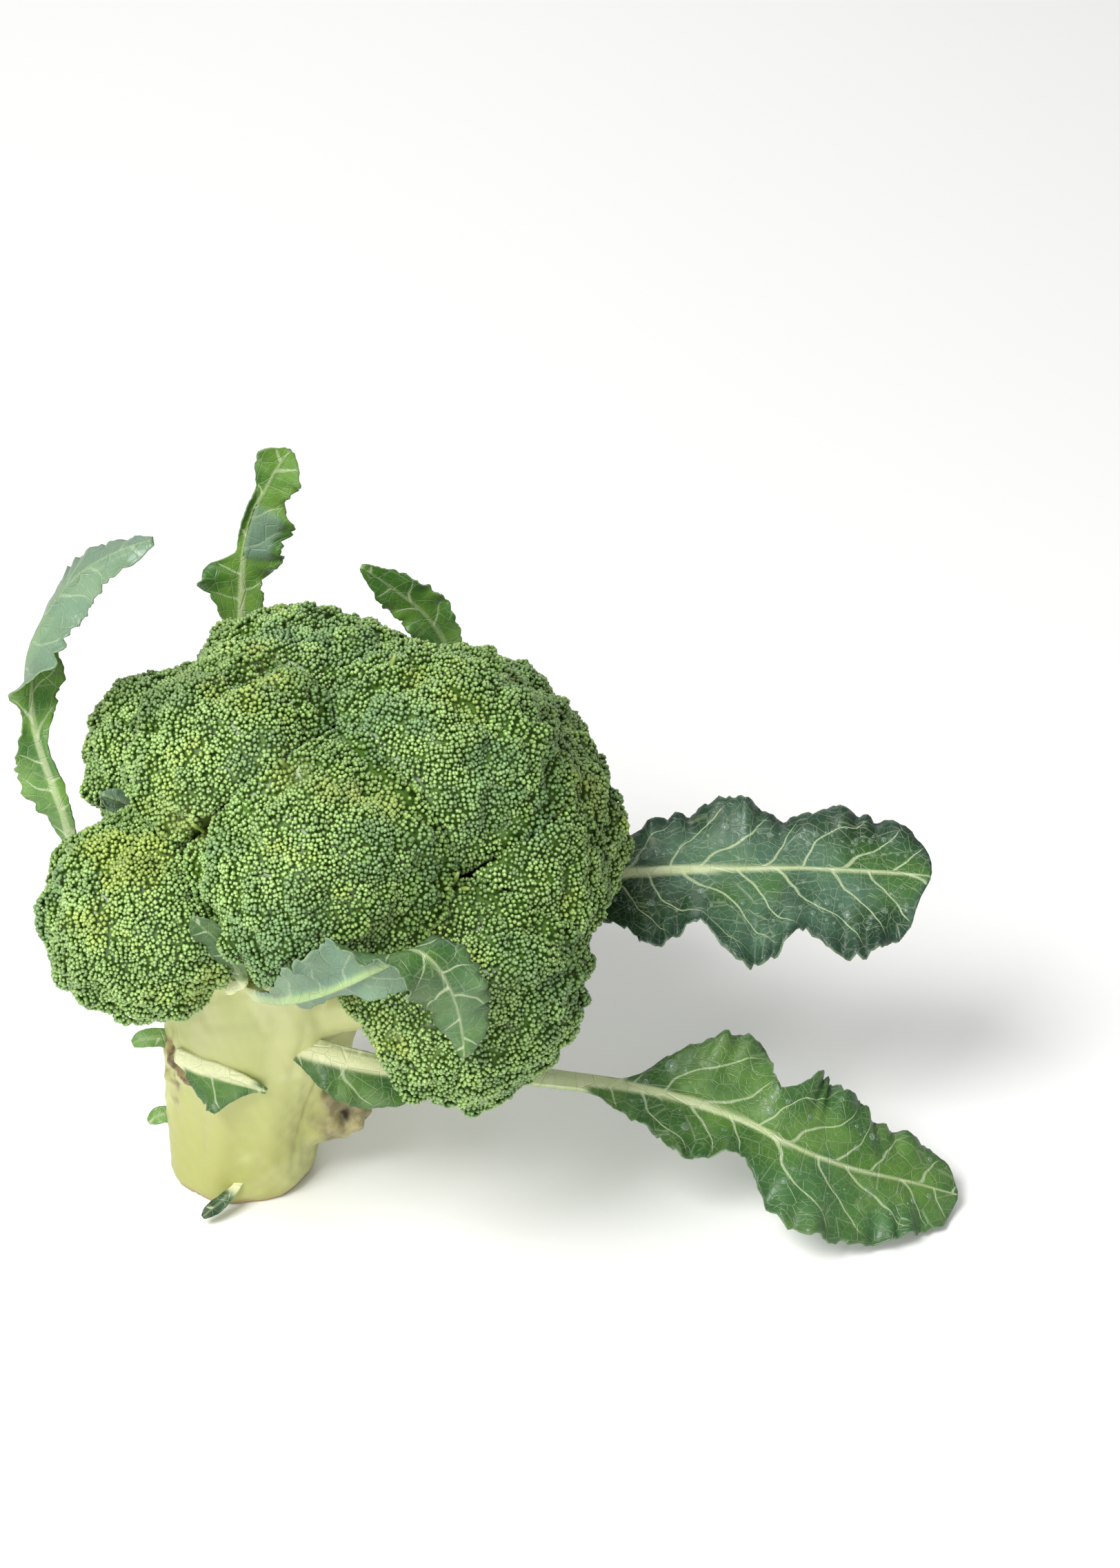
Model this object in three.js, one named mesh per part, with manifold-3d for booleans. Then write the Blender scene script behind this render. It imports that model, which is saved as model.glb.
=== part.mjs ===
// A head of broccoli, standing on the cut end of its stalk, with the small leaves left on it.
// Millimetres, +Z up, +X towards the long leaf that reaches down to the table. The origin is the
// centre of the cut face of the stalk.

import * as THREE from "three";
import { ConvexHull } from "three/addons/math/ConvexHull.js";
import { mergeVertices } from "three/addons/utils/BufferGeometryUtils.js";
import Module from "manifold-3d";

const wasm = await Module();
wasm.setup();

// Driving dimensions

const GAP = 0.3; // clearance between pieces that touch
const GOLDEN_ANGLE = Math.PI * (3 - Math.sqrt(5));

// The stalk: rings of height, centre x and y, half width along x and along y.
const STALK_SIDES = 28;
const STALK_FLUTES = 7;
const STALK_FLUTE_DEPTH = 0.025; // in half widths
const STALK_FLUTE_TWIST = 0.03; // radians for each millimetre of height
const STALK_RINGS = [
  { z: 0, x: 0, y: 0, rx: 20.8, ry: 20 },
  { z: 3, x: 0.2, y: 0, rx: 22.4, ry: 21.6 },
  { z: 12, x: 1, y: 0, rx: 23.2, ry: 22.4 },
  { z: 26, x: 3, y: 0, rx: 25, ry: 24 },
  { z: 40, x: 5.5, y: 0, rx: 27, ry: 26 },
  { z: 54, x: 8, y: 0, rx: 29.5, ry: 28 },
  { z: 68, x: 11, y: 0, rx: 31.5, ry: 29.5 },
  { z: 82, x: 13.5, y: 0, rx: 29, ry: 28 },
  { z: 94, x: 15, y: 0, rx: 21, ry: 21 },
  { z: 100, x: 15, y: 0, rx: 11, ry: 11 },
];

// The stump of a broken leaf stem on the right side of the stalk: points and radii.
const KNOB = [
  { at: [16, -3, 25], radius: 10 },
  { at: [25, -4, 26.5], radius: 11 },
  { at: [33, -5.5, 29], radius: 9.5 },
  { at: [38.5, -6, 31.5], radius: 6 },
];
const KNOB_SIDES = 10;

// The branches: each runs from the stalk into its floret.
const BRANCH_SIDES = 10;
const BRANCH_STEPS = 6;
const BRANCH_RADIUS = { root: 12, tip: 6.5 };
const BRANCH_ROOT_LOWEST = 50;
const BRANCH_ROOT_HIGHEST = 84;
const BRANCH_SLOPE = 0.95; // how far it would climb for each millimetre that it reaches out
const BRANCH_BEND = { along: 0.45, up: 0.55 }; // the point that it bends towards, in shares of it
const BRANCH_SINK = 0.22; // how far below the floret's centre the branch ends, in floret radii

// The florets, each a cap of bud clusters round its own centre. One that is joined by 1 runs into
// its neighbours with a shallow crease, and one that is hardly joined stands apart.
const HUB = new THREE.Vector3(12, 0, 66);
const FLORETS = [
  { name: "floret_top_back", at: [23, 17, 149], radius: 38.5, joined: 1 },
  { name: "floret_top_right", at: [62, -7, 147], radius: 40.5, joined: 1 },
  { name: "floret_top_left", at: [5, -22, 160], radius: 31, joined: 0.6 },
  { name: "floret_front", at: [29, -42, 137], radius: 39, joined: 1 },
  { name: "floret_left_back", at: [-16, 10, 143], radius: 27, joined: 0.1 },
  { name: "floret_left_front", at: [-18.5, -38, 117.5], radius: 33.5, joined: 0.08 },
  { name: "floret_right_front", at: [69, -42, 98], radius: 38, joined: 0.8 },
  { name: "floret_right_mid", at: [82, -21, 119], radius: 30, joined: 1 },
  { name: "floret_right", at: [87, 11, 114], radius: 34, joined: 0.8 },
  { name: "floret_back_right", at: [73, 45, 119], radius: 35, joined: 0.7 },
  { name: "floret_back", at: [33, 57, 119], radius: 37, joined: 0.8 },
  { name: "floret_back_left", at: [-10, 43, 117], radius: 34.5, joined: 0.3 },
];

const FILL = 6; // how far joined florets fill the groove between them
const FILL_PASSES = 6;
const UNDER_START = 0.05; // cosine from the floret's axis where its side starts to draw in
const UNDER_END = -0.95;
const UNDER_DEPTH = 0.5; // how far it has drawn in at its foot, in floret radii
const DOME_AREA = 520; // surface of one dome of clusters, square millimetres
const DOME_CAP = 2.05; // angle from the axis that the domes cover, in radians
const DOME_SPREAD = 1.25; // reach of a dome, in the half angle of its share of the cap
const DOME_RELIEF = 0.13; // depth of the folds between domes, in floret radii
const DOME_RISE = 0.06; // how much more one dome may stand out than another, in floret radii
const DOME_SHIFT = 0.4; // most that a dome is turned out of its place, in radians
const BLEND = 1.6; // rounding where neighbouring florets press together
const CLUSTER_AREA = 100; // surface of one bud cluster, square millimetres
const CLUSTER_SHIFT = 0.1; // most that a cluster is turned out of its place, in radians
const CLUSTER_RISE = { least: 0.8, most: 1.8 };
const CLUSTER_DIP = 0.9;
const CLUSTER_FOOT = 9; // clusters on the underside
const PRESSED = 0.86; // a cluster this much nearer than its free distance is pressed on a neighbour
const PRESSED_KEPT = 3; // one in this many of the pressed clusters is kept

// The leaves: rows of a point on the midrib, the direction that the upper face looks, the half
// widths left and right and of the rib, and how far the left and right edges and the wave rise.
const BLADE = 1.0; // thickness of a leaf blade
const TOOTH = 0.13; // depth of the teeth along the edge, in half widths
const WAVE_LENGTH = 27;
const CUP_POWER = 1.4; // how the height across the blade grows from the rib to the edge
// Across a section from the left edge to the right: how far the rib stands over the upper and
// under the lower face, in rib half widths.
const RIB_UPPER = [0, 0, 0, 0.25, 0, 0, 0];
const RIB_LOWER = [0, 0, -0.45, -1.5, -0.45, 0, 0];
const LEAVES = [
  {
    name: "leaf_right_low",
    stations: 28,
    rows: [
      [12, -12, 60, 0, -0.7, 0.7, 5, 5, 4.2, 0, 0, 0],
      [22, -25, 62.5, 0, -0.75, 0.65, 4.5, 5, 3.6, 0, 0, 0],
      [36, -29, 60.5, 0, -0.75, 0.65, 4, 13, 3.1, 0, -1, 1],
      [50, -27, 56, 0, -0.75, 0.65, 4, 12, 2.9, 0, -1, 1],
      [66, -20, 51, 0, -0.6, 0.8, 3.74, 3.74, 2.8, 0, 0, 0],
      [84, -15, 46, 0, -0.5, 0.85, 3.02, 3.02, 2.7, 0, 0, 0],
      [106, -13, 41.5, 0, -0.4, 0.92, 2.91, 2.91, 2.6, 0, 0, 0],
      [120, -14, 40, 0, -0.4, 0.92, 3.4, 9, 2.4, 0, 0, 1],
      [130, -15.6, 38.8, 0, -0.4, 0.92, 13, 14, 2.2, 2, 0, 1],
      [141.4, -18.6, 37, 0, -0.45, 0.9, 23, 19, 2, 4, 2, 2],
      [152, -21.6, 34.6, 0.05, -0.48, 0.88, 27, 16, 1.8, 5, 1, 3],
      [161, -25, 32, 0.1, -0.5, 0.86, 15, 12, 1.6, 3, 1, 3],
      [168.9, -28, 29, 0.15, -0.5, 0.85, 26, 19, 1.45, 2, 0, 3],
      [177.8, -29.3, 25, 0.22, -0.5, 0.84, 27, 27, 1.3, 2, -1, 3],
      [190.5, -28.3, 19, 0.3, -0.48, 0.82, 24, 25, 1.1, 0, -1, 2],
      [202.4, -25.3, 13.5, 0.38, -0.42, 0.82, 20, 21, 0.9, -1, 0, 2],
      [211.2, -23.3, 9.5, 0.42, -0.38, 0.82, 17, 17, 0.8, -1, 0, 1],
      [218.9, -22.1, 6, 0.45, -0.35, 0.82, 12.5, 12, 0.7, -1, 0, 1],
      [223.1, -21.9, 4.5, 0.45, -0.35, 0.82, 1.5, 1.5, 0.6, 0, 0, 0],
    ],
  },
  {
    name: "leaf_right_mid",
    stations: 26,
    rows: [
      [22, 8, 57, 0, -0.2, 1, 4.26, 4.26, 3.8, 0, 0, 0],
      [46, 11, 61, 0, -0.25, 1, 3.58, 3.58, 3.2, 0, 0, 0],
      [72, 16, 70, 0, -0.3, 0.95, 3.25, 3.25, 2.9, 0, 0, 0],
      [97, 19.5, 84, -0.1, -0.35, 0.93, 3.02, 3.02, 2.7, 0, 0, 0],
      [116.5, 20, 94.5, -0.05, -0.41, 0.91, 10, 20, 2.1, 0, 0, 1],
      [127.9, 20, 96.8, -0.05, -0.41, 0.91, 17, 28, 1.9, 1, 1, 2],
      [142.5, 19, 98, -0.05, -0.41, 0.91, 23, 22, 1.7, 3, 1, 3],
      [154.9, 18.5, 98.3, -0.05, -0.41, 0.91, 24, 34, 1.5, 4, 1, 3],
      [166.3, 18, 98.9, -0.05, -0.41, 0.91, 20, 32, 1.3, 2, 0, 3],
      [174.7, 17.5, 99.3, -0.05, -0.41, 0.91, 19, 23, 1.15, 2, 0, 2],
      [182.9, 17, 99.2, -0.05, -0.41, 0.91, 22, 28, 1, 2, -1, 2],
      [192.4, 16.5, 99, -0.05, -0.41, 0.91, 21, 31, 0.9, 2, -2, 2],
      [200.6, 16, 98.7, -0.05, -0.41, 0.91, 19, 27, 0.8, 1, -2, 2],
      [206.9, 15, 98.8, -0.05, -0.41, 0.91, 15, 22, 0.7, 0, -2, 1],
      [210.8, 14.3, 98.8, -0.05, -0.41, 0.91, 9, 14, 0.65, 0, -1, 1],
      [213.1, 13.5, 98.8, -0.05, -0.41, 0.91, 1.5, 2, 0.6, 0, 0, 0],
    ],
  },
  {
    name: "leaf_left",
    stations: 26,
    rows: [
      [-12, 1, 57, -0.3, -0.8, 0.5, 3.58, 3.58, 3.2, 0, 0, 0],
      [-27, 5, 72, -0.4, -0.8, 0.5, 2.91, 2.91, 2.6, 0, 0, 0],
      [-39, 7, 90, -0.5, -0.8, 0.3, 2.35, 2.35, 2.1, 0, 0, 0],
      [-46, 4, 112, -0.4, -0.85, 0.2, 2.02, 2.02, 1.8, 0, 0, 0],
      [-48, 0, 129, -0.3, -0.9, 0.2, 7, 3, 1.6, 0, 0, 0],
      [-51.5, 0, 143, -0.2, -0.95, 0.2, 11, 3.5, 1.5, 1, 0, 1],
      [-54, 0, 154, 0, -1, 0.2, 7, 3, 1.4, 1, 0, 1],
      [-55.4, 0, 165, 0.4, -0.9, 0.1, 3.5, 8, 1.3, 0, 1, 1],
      [-55, 0, 176, 0.9, -0.4, 0, 10, 13, 1.2, 0, 2, 2],
      [-52.6, 0, 187, 0.9, 0.2, -0.1, 12, 13, 1.1, 1, 8, 2],
      [-48.4, 0, 197, 0.65, 0.7, -0.2, 11.5, 10, 1, 0, 11, 2],
      [-42.4, 0, 206, 0.5, 0.75, -0.4, 10, 10, 0.9, 0, 10, 2],
      [-35, 0, 213, 0.4, 0.7, -0.6, 8, 9, 0.8, 0, 8, 1],
      [-25, 0, 218.5, 0.3, 0.6, -0.75, 6, 7, 0.7, 0, 5, 1],
      [-16.7, 0, 221.6, 0.3, 0.6, -0.75, 1.5, 1.5, 0.6, 0, 0, 0],
    ],
  },
  {
    name: "leaf_back",
    stations: 25,
    rows: [
      [11, 16, 57, 0, -0.3, 0.95, 3.81, 3.81, 3.4, 0, 0, 0],
      [7, 38, 64, 0, -0.4, 0.9, 3.25, 3.25, 2.9, 0, 0, 0],
      [2, 62, 76, 0, -0.5, 0.85, 2.69, 2.69, 2.4, 0, 0, 0],
      [-2, 83, 99, 0, -0.8, 0.6, 2.24, 2.24, 2, 0, 0, 0],
      [-2, 93, 127, 0, -1, 0.15, 1.9, 1.9, 1.7, 0, 0, 0],
      [-0.6, 94, 151, 0.05, -1, 0.05, 9, 7.3, 1.5, 1, 1, 1],
      [-0.3, 94, 157.4, 0.05, -1, 0.05, 14.5, 6.6, 1.4, 1, 1, 2],
      [0.2, 94, 162.8, 0.05, -1, 0.05, 12, 11, 1.3, 1, 1, 2],
      [0.8, 94, 168.2, 0.05, -1, 0.05, 3.2, 13.3, 1.2, 1, 1, 1],
      [1.8, 94, 173.5, 0.05, -1, 0.05, 2.8, 12, 1.1, 1, 1, 1],
      [3.6, 94, 180.5, 0.05, -1, 0.05, 2.8, 15, 1, 1, 1, 1],
      [5.9, 94, 186.3, 0.05, -1, 0.05, 2.8, 10.7, 0.95, 1, 1, 1],
      [8.4, 94, 190.5, 0.05, -1, 0.05, 3.4, 7.8, 0.9, 1, 1, 1],
      [11, 94, 195.8, 0.05, -1, 0.05, 6.6, 10, 0.8, 1, 1, 1],
      [14, 94, 200.5, 0.05, -1, 0.05, 8.3, 6.8, 0.7, 1, 1, 1],
      [16.5, 94, 204, 0.05, -1, 0.05, 2, 2, 0.6, 0, 0, 0],
    ],
  },
  {
    name: "leaf_back_small",
    stations: 15,
    rows: [
      [24, 16, 58, 0, -0.3, 0.95, 3.58, 3.58, 3.2, 0, 0, 0],
      [40, 38, 66, 0, -0.4, 0.9, 3.14, 3.14, 2.8, 0, 0, 0],
      [54, 60, 74, 0, -0.5, 0.85, 2.69, 2.69, 2.4, 0, 0, 0],
      [63, 80, 90, 0, -0.7, 0.7, 2.35, 2.35, 2.1, 0, 0, 0],
      [66, 95, 112, 0, -0.9, 0.3, 2.02, 2.02, 1.8, 0, 0, 0],
      [65, 97, 130, 0, -1, 0.1, 6, 5, 1.5, 1, 1, 1],
      [58, 95, 145, 0, -1, 0, 8, 9, 1.2, 1, 2, 2],
      [48.5, 93, 155.5, 0, -1, 0, 7.5, 8, 1, 1, 1, 1],
      [38, 91, 165, 0, -1, 0, 1.5, 1.5, 0.7, 0, 0, 0],
    ],
  },
  {
    name: "leaf_front",
    stations: 25,
    rows: [
      [9, -17, 80, 0, 0.6, 0.8, 2.9, 2.9, 2.6, 0, 0, 0],
      [9.5, -36, 92, 0, 0.7, 0.7, 2.5, 2.5, 2.2, 0, 0, 0],
      [12, -54, 102.5, 0, 0.8, 0.6, 2.2, 2.2, 1.9, 0, 0, 0],
      [19, -69, 110.9, 0, 1, 0.4, 3, 4, 1.6, 0, 0, 0],
      [24.2, -77, 115.9, 0.05, 1, 0.2, 5, 8, 1.4, 0, -1, 1],
      [31.1, -83, 121.3, 0.05, 1, 0.1, 5, 14, 1.3, 0, -2, 2],
      [40.7, -88, 128.7, 0.05, 1, 0.1, 7, 17.5, 1.2, 0, -3, 2],
      [49.3, -91, 135.5, 0, 1, 0.2, 12, 17, 1.1, -2, -3, 2],
      [55.1, -95, 141.8, -0.2, 0.8, 0.6, 16, 14, 1.1, -2, -1, 2],
      [59.6, -98, 145.2, 0, 0.1, 1, 12, 11, 1, 0, 0, 1],
      [64.8, -100, 142.9, 0.2, -0.7, 0.7, 10, 13, 0.95, -1, -1, 2],
      [69, -98, 133.7, 0.1, -0.95, 0.3, 11, 12, 0.85, -2, -1, 2],
      [71.5, -95, 123.6, 0.05, -1, 0.2, 10, 9, 0.75, -2, -1, 2],
      [72.6, -92, 112.9, 0, -1, 0.2, 7, 5, 0.7, -1, -1, 1],
      [72.9, -90, 104.4, 0, -1, 0.2, 1.5, 1.5, 0.6, 0, 0, 0],
    ],
  },
  {
    name: "leaf_front_small",
    stations: 9,
    rows: [
      [3, -18, 80, 0, -0.8, 0.6, 2, 2, 1.7, 0, 0, 0],
      [2, -33, 90, 0, -0.8, 0.6, 1.7, 1.7, 1.4, 0, 0, 0],
      [7.4, -49, 102.1, 0, -0.8, 0.5, 1.6, 1.6, 1.2, 0, 0, 0],
      [6, -60, 116.6, 0, -0.9, 0.2, 3.4, 3.4, 1, 0, 0, 1],
      [2.5, -67, 129, 0, -0.95, -0.1, 4.8, 4.4, 0.8, 1, 1, 1],
      [-1.5, -70, 135.6, 0, -1, -0.1, 4, 4, 0.7, 1, 1, 0],
      [-3.8, -71, 138.8, 0, -1, -0.2, 1, 1, 0.6, 0, 0, 0],
    ],
  },
  {
    name: "leaflet_in_left_cleft",
    stations: 6,
    rows: [
      [-10, -1, 106, 0, -0.8, 0.6, 2, 2, 1.4, 0, 0, 0],
      [-18, -9, 126, 0, -0.8, 0.6, 2, 2, 1.3, 0, 0, 0],
      [-26, -15, 141, 0, -0.8, 0.6, 4, 4, 1, 0, 0, 1],
      [-31, -18, 146, 0, -0.8, 0.6, 3.4, 3.4, 0.9, 0, 0, 1],
      [-34, -19, 148, 0, -0.8, 0.6, 1, 1, 0.7, 0, 0, 0],
    ],
  },
  {
    name: "leaf_base_left_cut",
    stations: 12,
    rows: [
      [-16.8, -17.5, 54.5, -0.75, -0.65, 0.3, 2.4, 2.4, 2.1, 0, 0, 0],
      [-13.1, -21, 54.6, -0.6, -0.8, 0.3, 2.9, 4, 2.6, 0, 0, 0],
      [-8.7, -24, 54.4, -0.45, -0.9, 0.3, 3, 10, 2.7, 0, 1, 0.5],
      [-4.3, -26.5, 54.6, -0.35, -0.92, 0.3, 3, 13, 2.6, 0, 1.5, 1],
      [-0.1, -28, 53.7, -0.25, -0.95, 0.3, 2.8, 12, 2.4, 0, 1.5, 1],
      [4.1, -28.8, 52.4, -0.1, -0.98, 0.3, 2.4, 6, 2, 0, 1, 0.5],
      [7.8, -29, 50.8, 0, -1, 0.3, 1.9, 2.2, 1.5, 0, 0, 0],
      [11, -28.8, 49.1, 0, -1, 0.3, 1, 1, 0.8, 0, 0, 0],
    ],
  },
  {
    name: "sprout_at_foot",
    stations: 6,
    rows: [
      [2, -18, 10, 0, -0.6, 0.8, 1.3, 1.3, 1.1, 0, 0, 0],
      [-0.5, -23.5, 8.5, 0, -0.6, 0.8, 1.4, 1.4, 1, 0, 0, 0],
      [-4, -27, 6.5, 0, -0.6, 0.8, 2.3, 2.3, 0.8, 0, 0, 1],
      [-8, -30, 4.6, 0, -0.6, 0.8, 2.1, 2.1, 0.7, 0, 0, 0],
      [-10, -31.5, 3.4, 0, -0.6, 0.8, 0.8, 0.8, 0.6, 0, 0, 0],
    ],
  },
  {
    name: "bud_leaf_left_upper",
    stations: 5,
    rows: [
      [-17, -7, 53, 0, -0.7, 0.7, 3, 3, 1.2, 0, 0, 0],
      [-24, -7.5, 54, 0, -0.7, 0.7, 3, 3, 1.05, 0, 0, 0],
      [-28.5, -8, 53.5, 0, -0.7, 0.7, 2.6, 2.8, 0.9, 0, 0, 0],
      [-31, -8, 52, 0, -0.7, 0.7, 1.2, 1.2, 0.7, 0, 0, 0],
    ],
  },
  {
    name: "bud_leaf_left_lower",
    stations: 5,
    rows: [
      [-18, -1, 20, 0, -0.7, 0.7, 2.6, 2.6, 1.05, 0, 0, 0],
      [-23.5, -1, 20.5, 0, -0.7, 0.7, 2.8, 2.8, 0.98, 0, 0, 0],
      [-26.5, -1.5, 19.5, 0, -0.7, 0.7, 2.4, 2.6, 0.83, 0, 0, 0],
      [-28.5, -1.5, 18, 0, -0.7, 0.7, 1, 1, 0.7, 0, 0, 0],
    ],
  },
];

// The colours and finishes of the real thing

const MATERIALS = {
  stalk: new THREE.MeshStandardMaterial({ color: 0xc9cf86, roughness: 0.5, metalness: 0 }),
  floret: new THREE.MeshStandardMaterial({ color: 0x57863b, roughness: 0.8, metalness: 0 }),
  leaf: new THREE.MeshStandardMaterial({ color: 0x3f6f4a, roughness: 0.5, metalness: 0 }),
};

// Small helpers

function fract(value) {
  return value - Math.floor(value);
}

// A repeatable draw between 0 and 1.
function draw(number) {
  return fract(Math.sin(number * 12.9898) * 43758.5453);
}

function smoothstep(from, to, value) {
  const t = Math.min(1, Math.max(0, (value - from) / (to - from)));
  return t * t * (3 - 2 * t);
}

// An indexed geometry with only its positions, ready to be a solid.
function geometryOf(points, triangles) {
  const geometry = new THREE.BufferGeometry().setFromPoints(points);
  geometry.setIndex(triangles.flat());
  return mergeVertices(geometry, 1e-4);
}

function solidOf(geometry) {
  const vertProperties = geometry.attributes.position.array;
  const triVerts = new Uint32Array(geometry.index.array);
  return new wasm.Manifold(new wasm.Mesh({ numProp: 3, vertProperties, triVerts }));
}

function geometryFrom(solid) {
  const mesh = solid.getMesh();
  const geometry = new THREE.BufferGeometry();
  geometry.setAttribute("position", new THREE.BufferAttribute(mesh.vertProperties, 3));
  geometry.setIndex(new THREE.BufferAttribute(mesh.triVerts, 1));
  const flat = geometry.toNonIndexed();
  flat.computeVertexNormals();
  return flat;
}

// The largest body of a solid that a cut has divided.
function largestBody(solid) {
  const bodies = solid.decompose();
  return bodies.reduce((best, body) => (body.volume() > best.volume() ? body : best));
}

// The stalk and its branches

// Joins rings of equally many points into one closed body with a fan over each end.
function loftRings(rings) {
  const sides = rings[0].length;
  const points = rings.flat();
  const triangles = [];
  rings.slice(1).forEach((ring, row) => {
    for (let i = 0; i < sides; i += 1) {
      const a = row * sides + i;
      const b = row * sides + ((i + 1) % sides);
      triangles.push([a, b, b + sides], [a, b + sides, a + sides]);
    }
  });
  const last = (rings.length - 1) * sides;
  for (const [start, flip] of [[0, true], [last, false]]) {
    const centre = new THREE.Vector3();
    points.slice(start, start + sides).forEach((p) => centre.addScaledVector(p, 1 / sides));
    points.push(centre);
    for (let i = 0; i < sides; i += 1) {
      const a = start + i;
      const b = start + ((i + 1) % sides);
      triangles.push(flip ? [points.length - 1, b, a] : [points.length - 1, a, b]);
    }
  }
  return geometryOf(points, triangles);
}

// The trunk of the stalk, with shallow flutes, grown by extra on every side.
function trunk(extra) {
  const rings = STALK_RINGS.map((ring, index) => {
    const ends = index === 0 ? -1 : index === STALK_RINGS.length - 1 ? 1 : 0;
    const points = [];
    for (let i = 0; i < STALK_SIDES; i += 1) {
      const angle = (2 * Math.PI * i) / STALK_SIDES;
      const flute = 1 + STALK_FLUTE_DEPTH * Math.cos(STALK_FLUTES * angle + STALK_FLUTE_TWIST * ring.z);
      const x = ring.x + (ring.rx * flute + extra) * Math.cos(angle);
      const y = ring.y + (ring.ry * flute + extra) * Math.sin(angle);
      points.push(new THREE.Vector3(x, y, ring.z + ends * extra));
    }
    return points;
  });
  return solidOf(loftRings(rings));
}

// A round stem along a curve, with a radius at each of its stations, grown by extra.
function stem(curve, radii, sides, extra) {
  const steps = radii.length - 1;
  const frames = curve.computeFrenetFrames(steps, false);
  const rings = radii.map((radius, index) => {
    const centre = curve.getPointAt(index / steps);
    const ends = index === 0 ? -1 : index === steps ? 1 : 0;
    centre.addScaledVector(frames.tangents[index], ends * extra);
    const points = [];
    for (let i = 0; i < sides; i += 1) {
      const angle = (2 * Math.PI * i) / sides;
      const reach = radius + extra;
      const point = centre.clone();
      point.addScaledVector(frames.normals[index], reach * Math.cos(angle));
      point.addScaledVector(frames.binormals[index], reach * Math.sin(angle));
      points.push(point);
    }
    return points;
  });
  return solidOf(loftRings(rings));
}

// The centre of the trunk at a height, between the two rings round it.
function trunkCentre(height) {
  const upper = STALK_RINGS.findIndex((ring) => ring.z >= height);
  const low = STALK_RINGS[upper - 1];
  const high = STALK_RINGS[upper];
  const t = (height - low.z) / (high.z - low.z);
  return new THREE.Vector3(low.x + t * (high.x - low.x), low.y + t * (high.y - low.y), height);
}

// A branch leaves the trunk upwards, bends out and ends inside its floret.
function branch(floret, extra) {
  const tip = floret.centre.clone().addScaledVector(floret.axis, -BRANCH_SINK * floret.radius);
  const reach = Math.hypot(tip.x - HUB.x, tip.y - HUB.y);
  const wanted = tip.z - BRANCH_SLOPE * reach;
  const height = Math.min(BRANCH_ROOT_HIGHEST, Math.max(BRANCH_ROOT_LOWEST, wanted));
  const root = trunkCentre(height);
  const bend = root.clone().lerp(tip, BRANCH_BEND.along);
  bend.z = root.z + BRANCH_BEND.up * (tip.z - root.z);
  const curve = new THREE.QuadraticBezierCurve3(root, bend, tip);
  const radii = [];
  for (let i = 0; i <= BRANCH_STEPS; i += 1) {
    radii.push(THREE.MathUtils.lerp(BRANCH_RADIUS.root, BRANCH_RADIUS.tip, i / BRANCH_STEPS));
  }
  return stem(curve, radii, BRANCH_SIDES, extra);
}

function knob(extra) {
  const curve = new THREE.CatmullRomCurve3(KNOB.map((k) => new THREE.Vector3(...k.at)));
  return stem(curve, KNOB.map((k) => k.radius), KNOB_SIDES, extra);
}

// The whole stalk as one body.
function stalk(florets, extra) {
  const branches = florets.map((floret) => branch(floret, extra));
  return branches.reduce((whole, one) => whole.add(one), trunk(extra).add(knob(extra)));
}

// The florets

// Adds to a floret its centre, its axis away from the hub and the directions of its domes.
function withDomes(floret, index) {
  const centre = new THREE.Vector3(...floret.at);
  const axis = centre.clone().sub(HUB).normalize();
  const side = new THREE.Vector3().crossVectors(axis, new THREE.Vector3(0, 1, 0)).normalize();
  const front = new THREE.Vector3().crossVectors(axis, side);
  const cap = 1 - Math.cos(DOME_CAP);
  const count = Math.round((2 * Math.PI * floret.radius ** 2 * cap) / DOME_AREA);
  const spread = DOME_SPREAD * Math.acos(1 - cap / count);
  const domes = [];
  for (let k = 0; k < count; k += 1) {
    const height = 1 - (cap * (k + 0.5)) / count;
    const turn = k * GOLDEN_ANGLE + DOME_SHIFT * draw(31 * index + k);
    const dome = direction(axis, side, front, height, turn);
    dome.rise = DOME_RISE * (draw(53 * index + 2 * k) - 0.5);
    domes.push(dome);
  }
  return { ...floret, index, centre, axis, side, front, domes, spread };
}

// The unit vector at a height along the axis and a turn about it.
function direction(axis, side, front, height, turn) {
  const across = Math.sqrt(Math.max(0, 1 - height * height));
  return new THREE.Vector3()
    .addScaledVector(axis, height)
    .addScaledVector(side, across * Math.cos(turn))
    .addScaledVector(front, across * Math.sin(turn))
    .normalize();
}

// The distance from a floret's centre to the crown's outside, where the sum over the florets of
// exp((radius - distance) / FILL) is one.
function outside(floret, florets, towards) {
  let reach = floret.radius;
  for (let pass = 0; pass < FILL_PASSES; pass += 1) {
    const point = floret.centre.clone().addScaledVector(towards, reach);
    let sum = 0;
    for (const other of florets) {
      const share = other === floret ? 1 : Math.min(floret.joined, other.joined);
      sum += share * Math.exp((other.radius - point.distanceTo(other.centre)) / FILL);
    }
    reach += FILL * Math.log(sum);
  }
  return reach;
}

// The distance from a floret's centre to its surface if no wall parted it from its neighbours:
// the outside, drawn in under the cap and between the domes.
function free(floret, florets, towards) {
  const under = smoothstep(UNDER_START, UNDER_END, towards.dot(floret.axis));
  let relief = -DOME_RELIEF;
  for (const dome of floret.domes) {
    const off = Math.min(1, towards.angleTo(dome) / floret.spread);
    relief = Math.max(relief, dome.rise - DOME_RELIEF * (1 - Math.sqrt(1 - off * off)));
  }
  const drawnIn = outside(floret, florets, towards) * (1 - UNDER_DEPTH * under);
  return drawnIn + floret.radius * relief * (1 - under);
}

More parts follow.
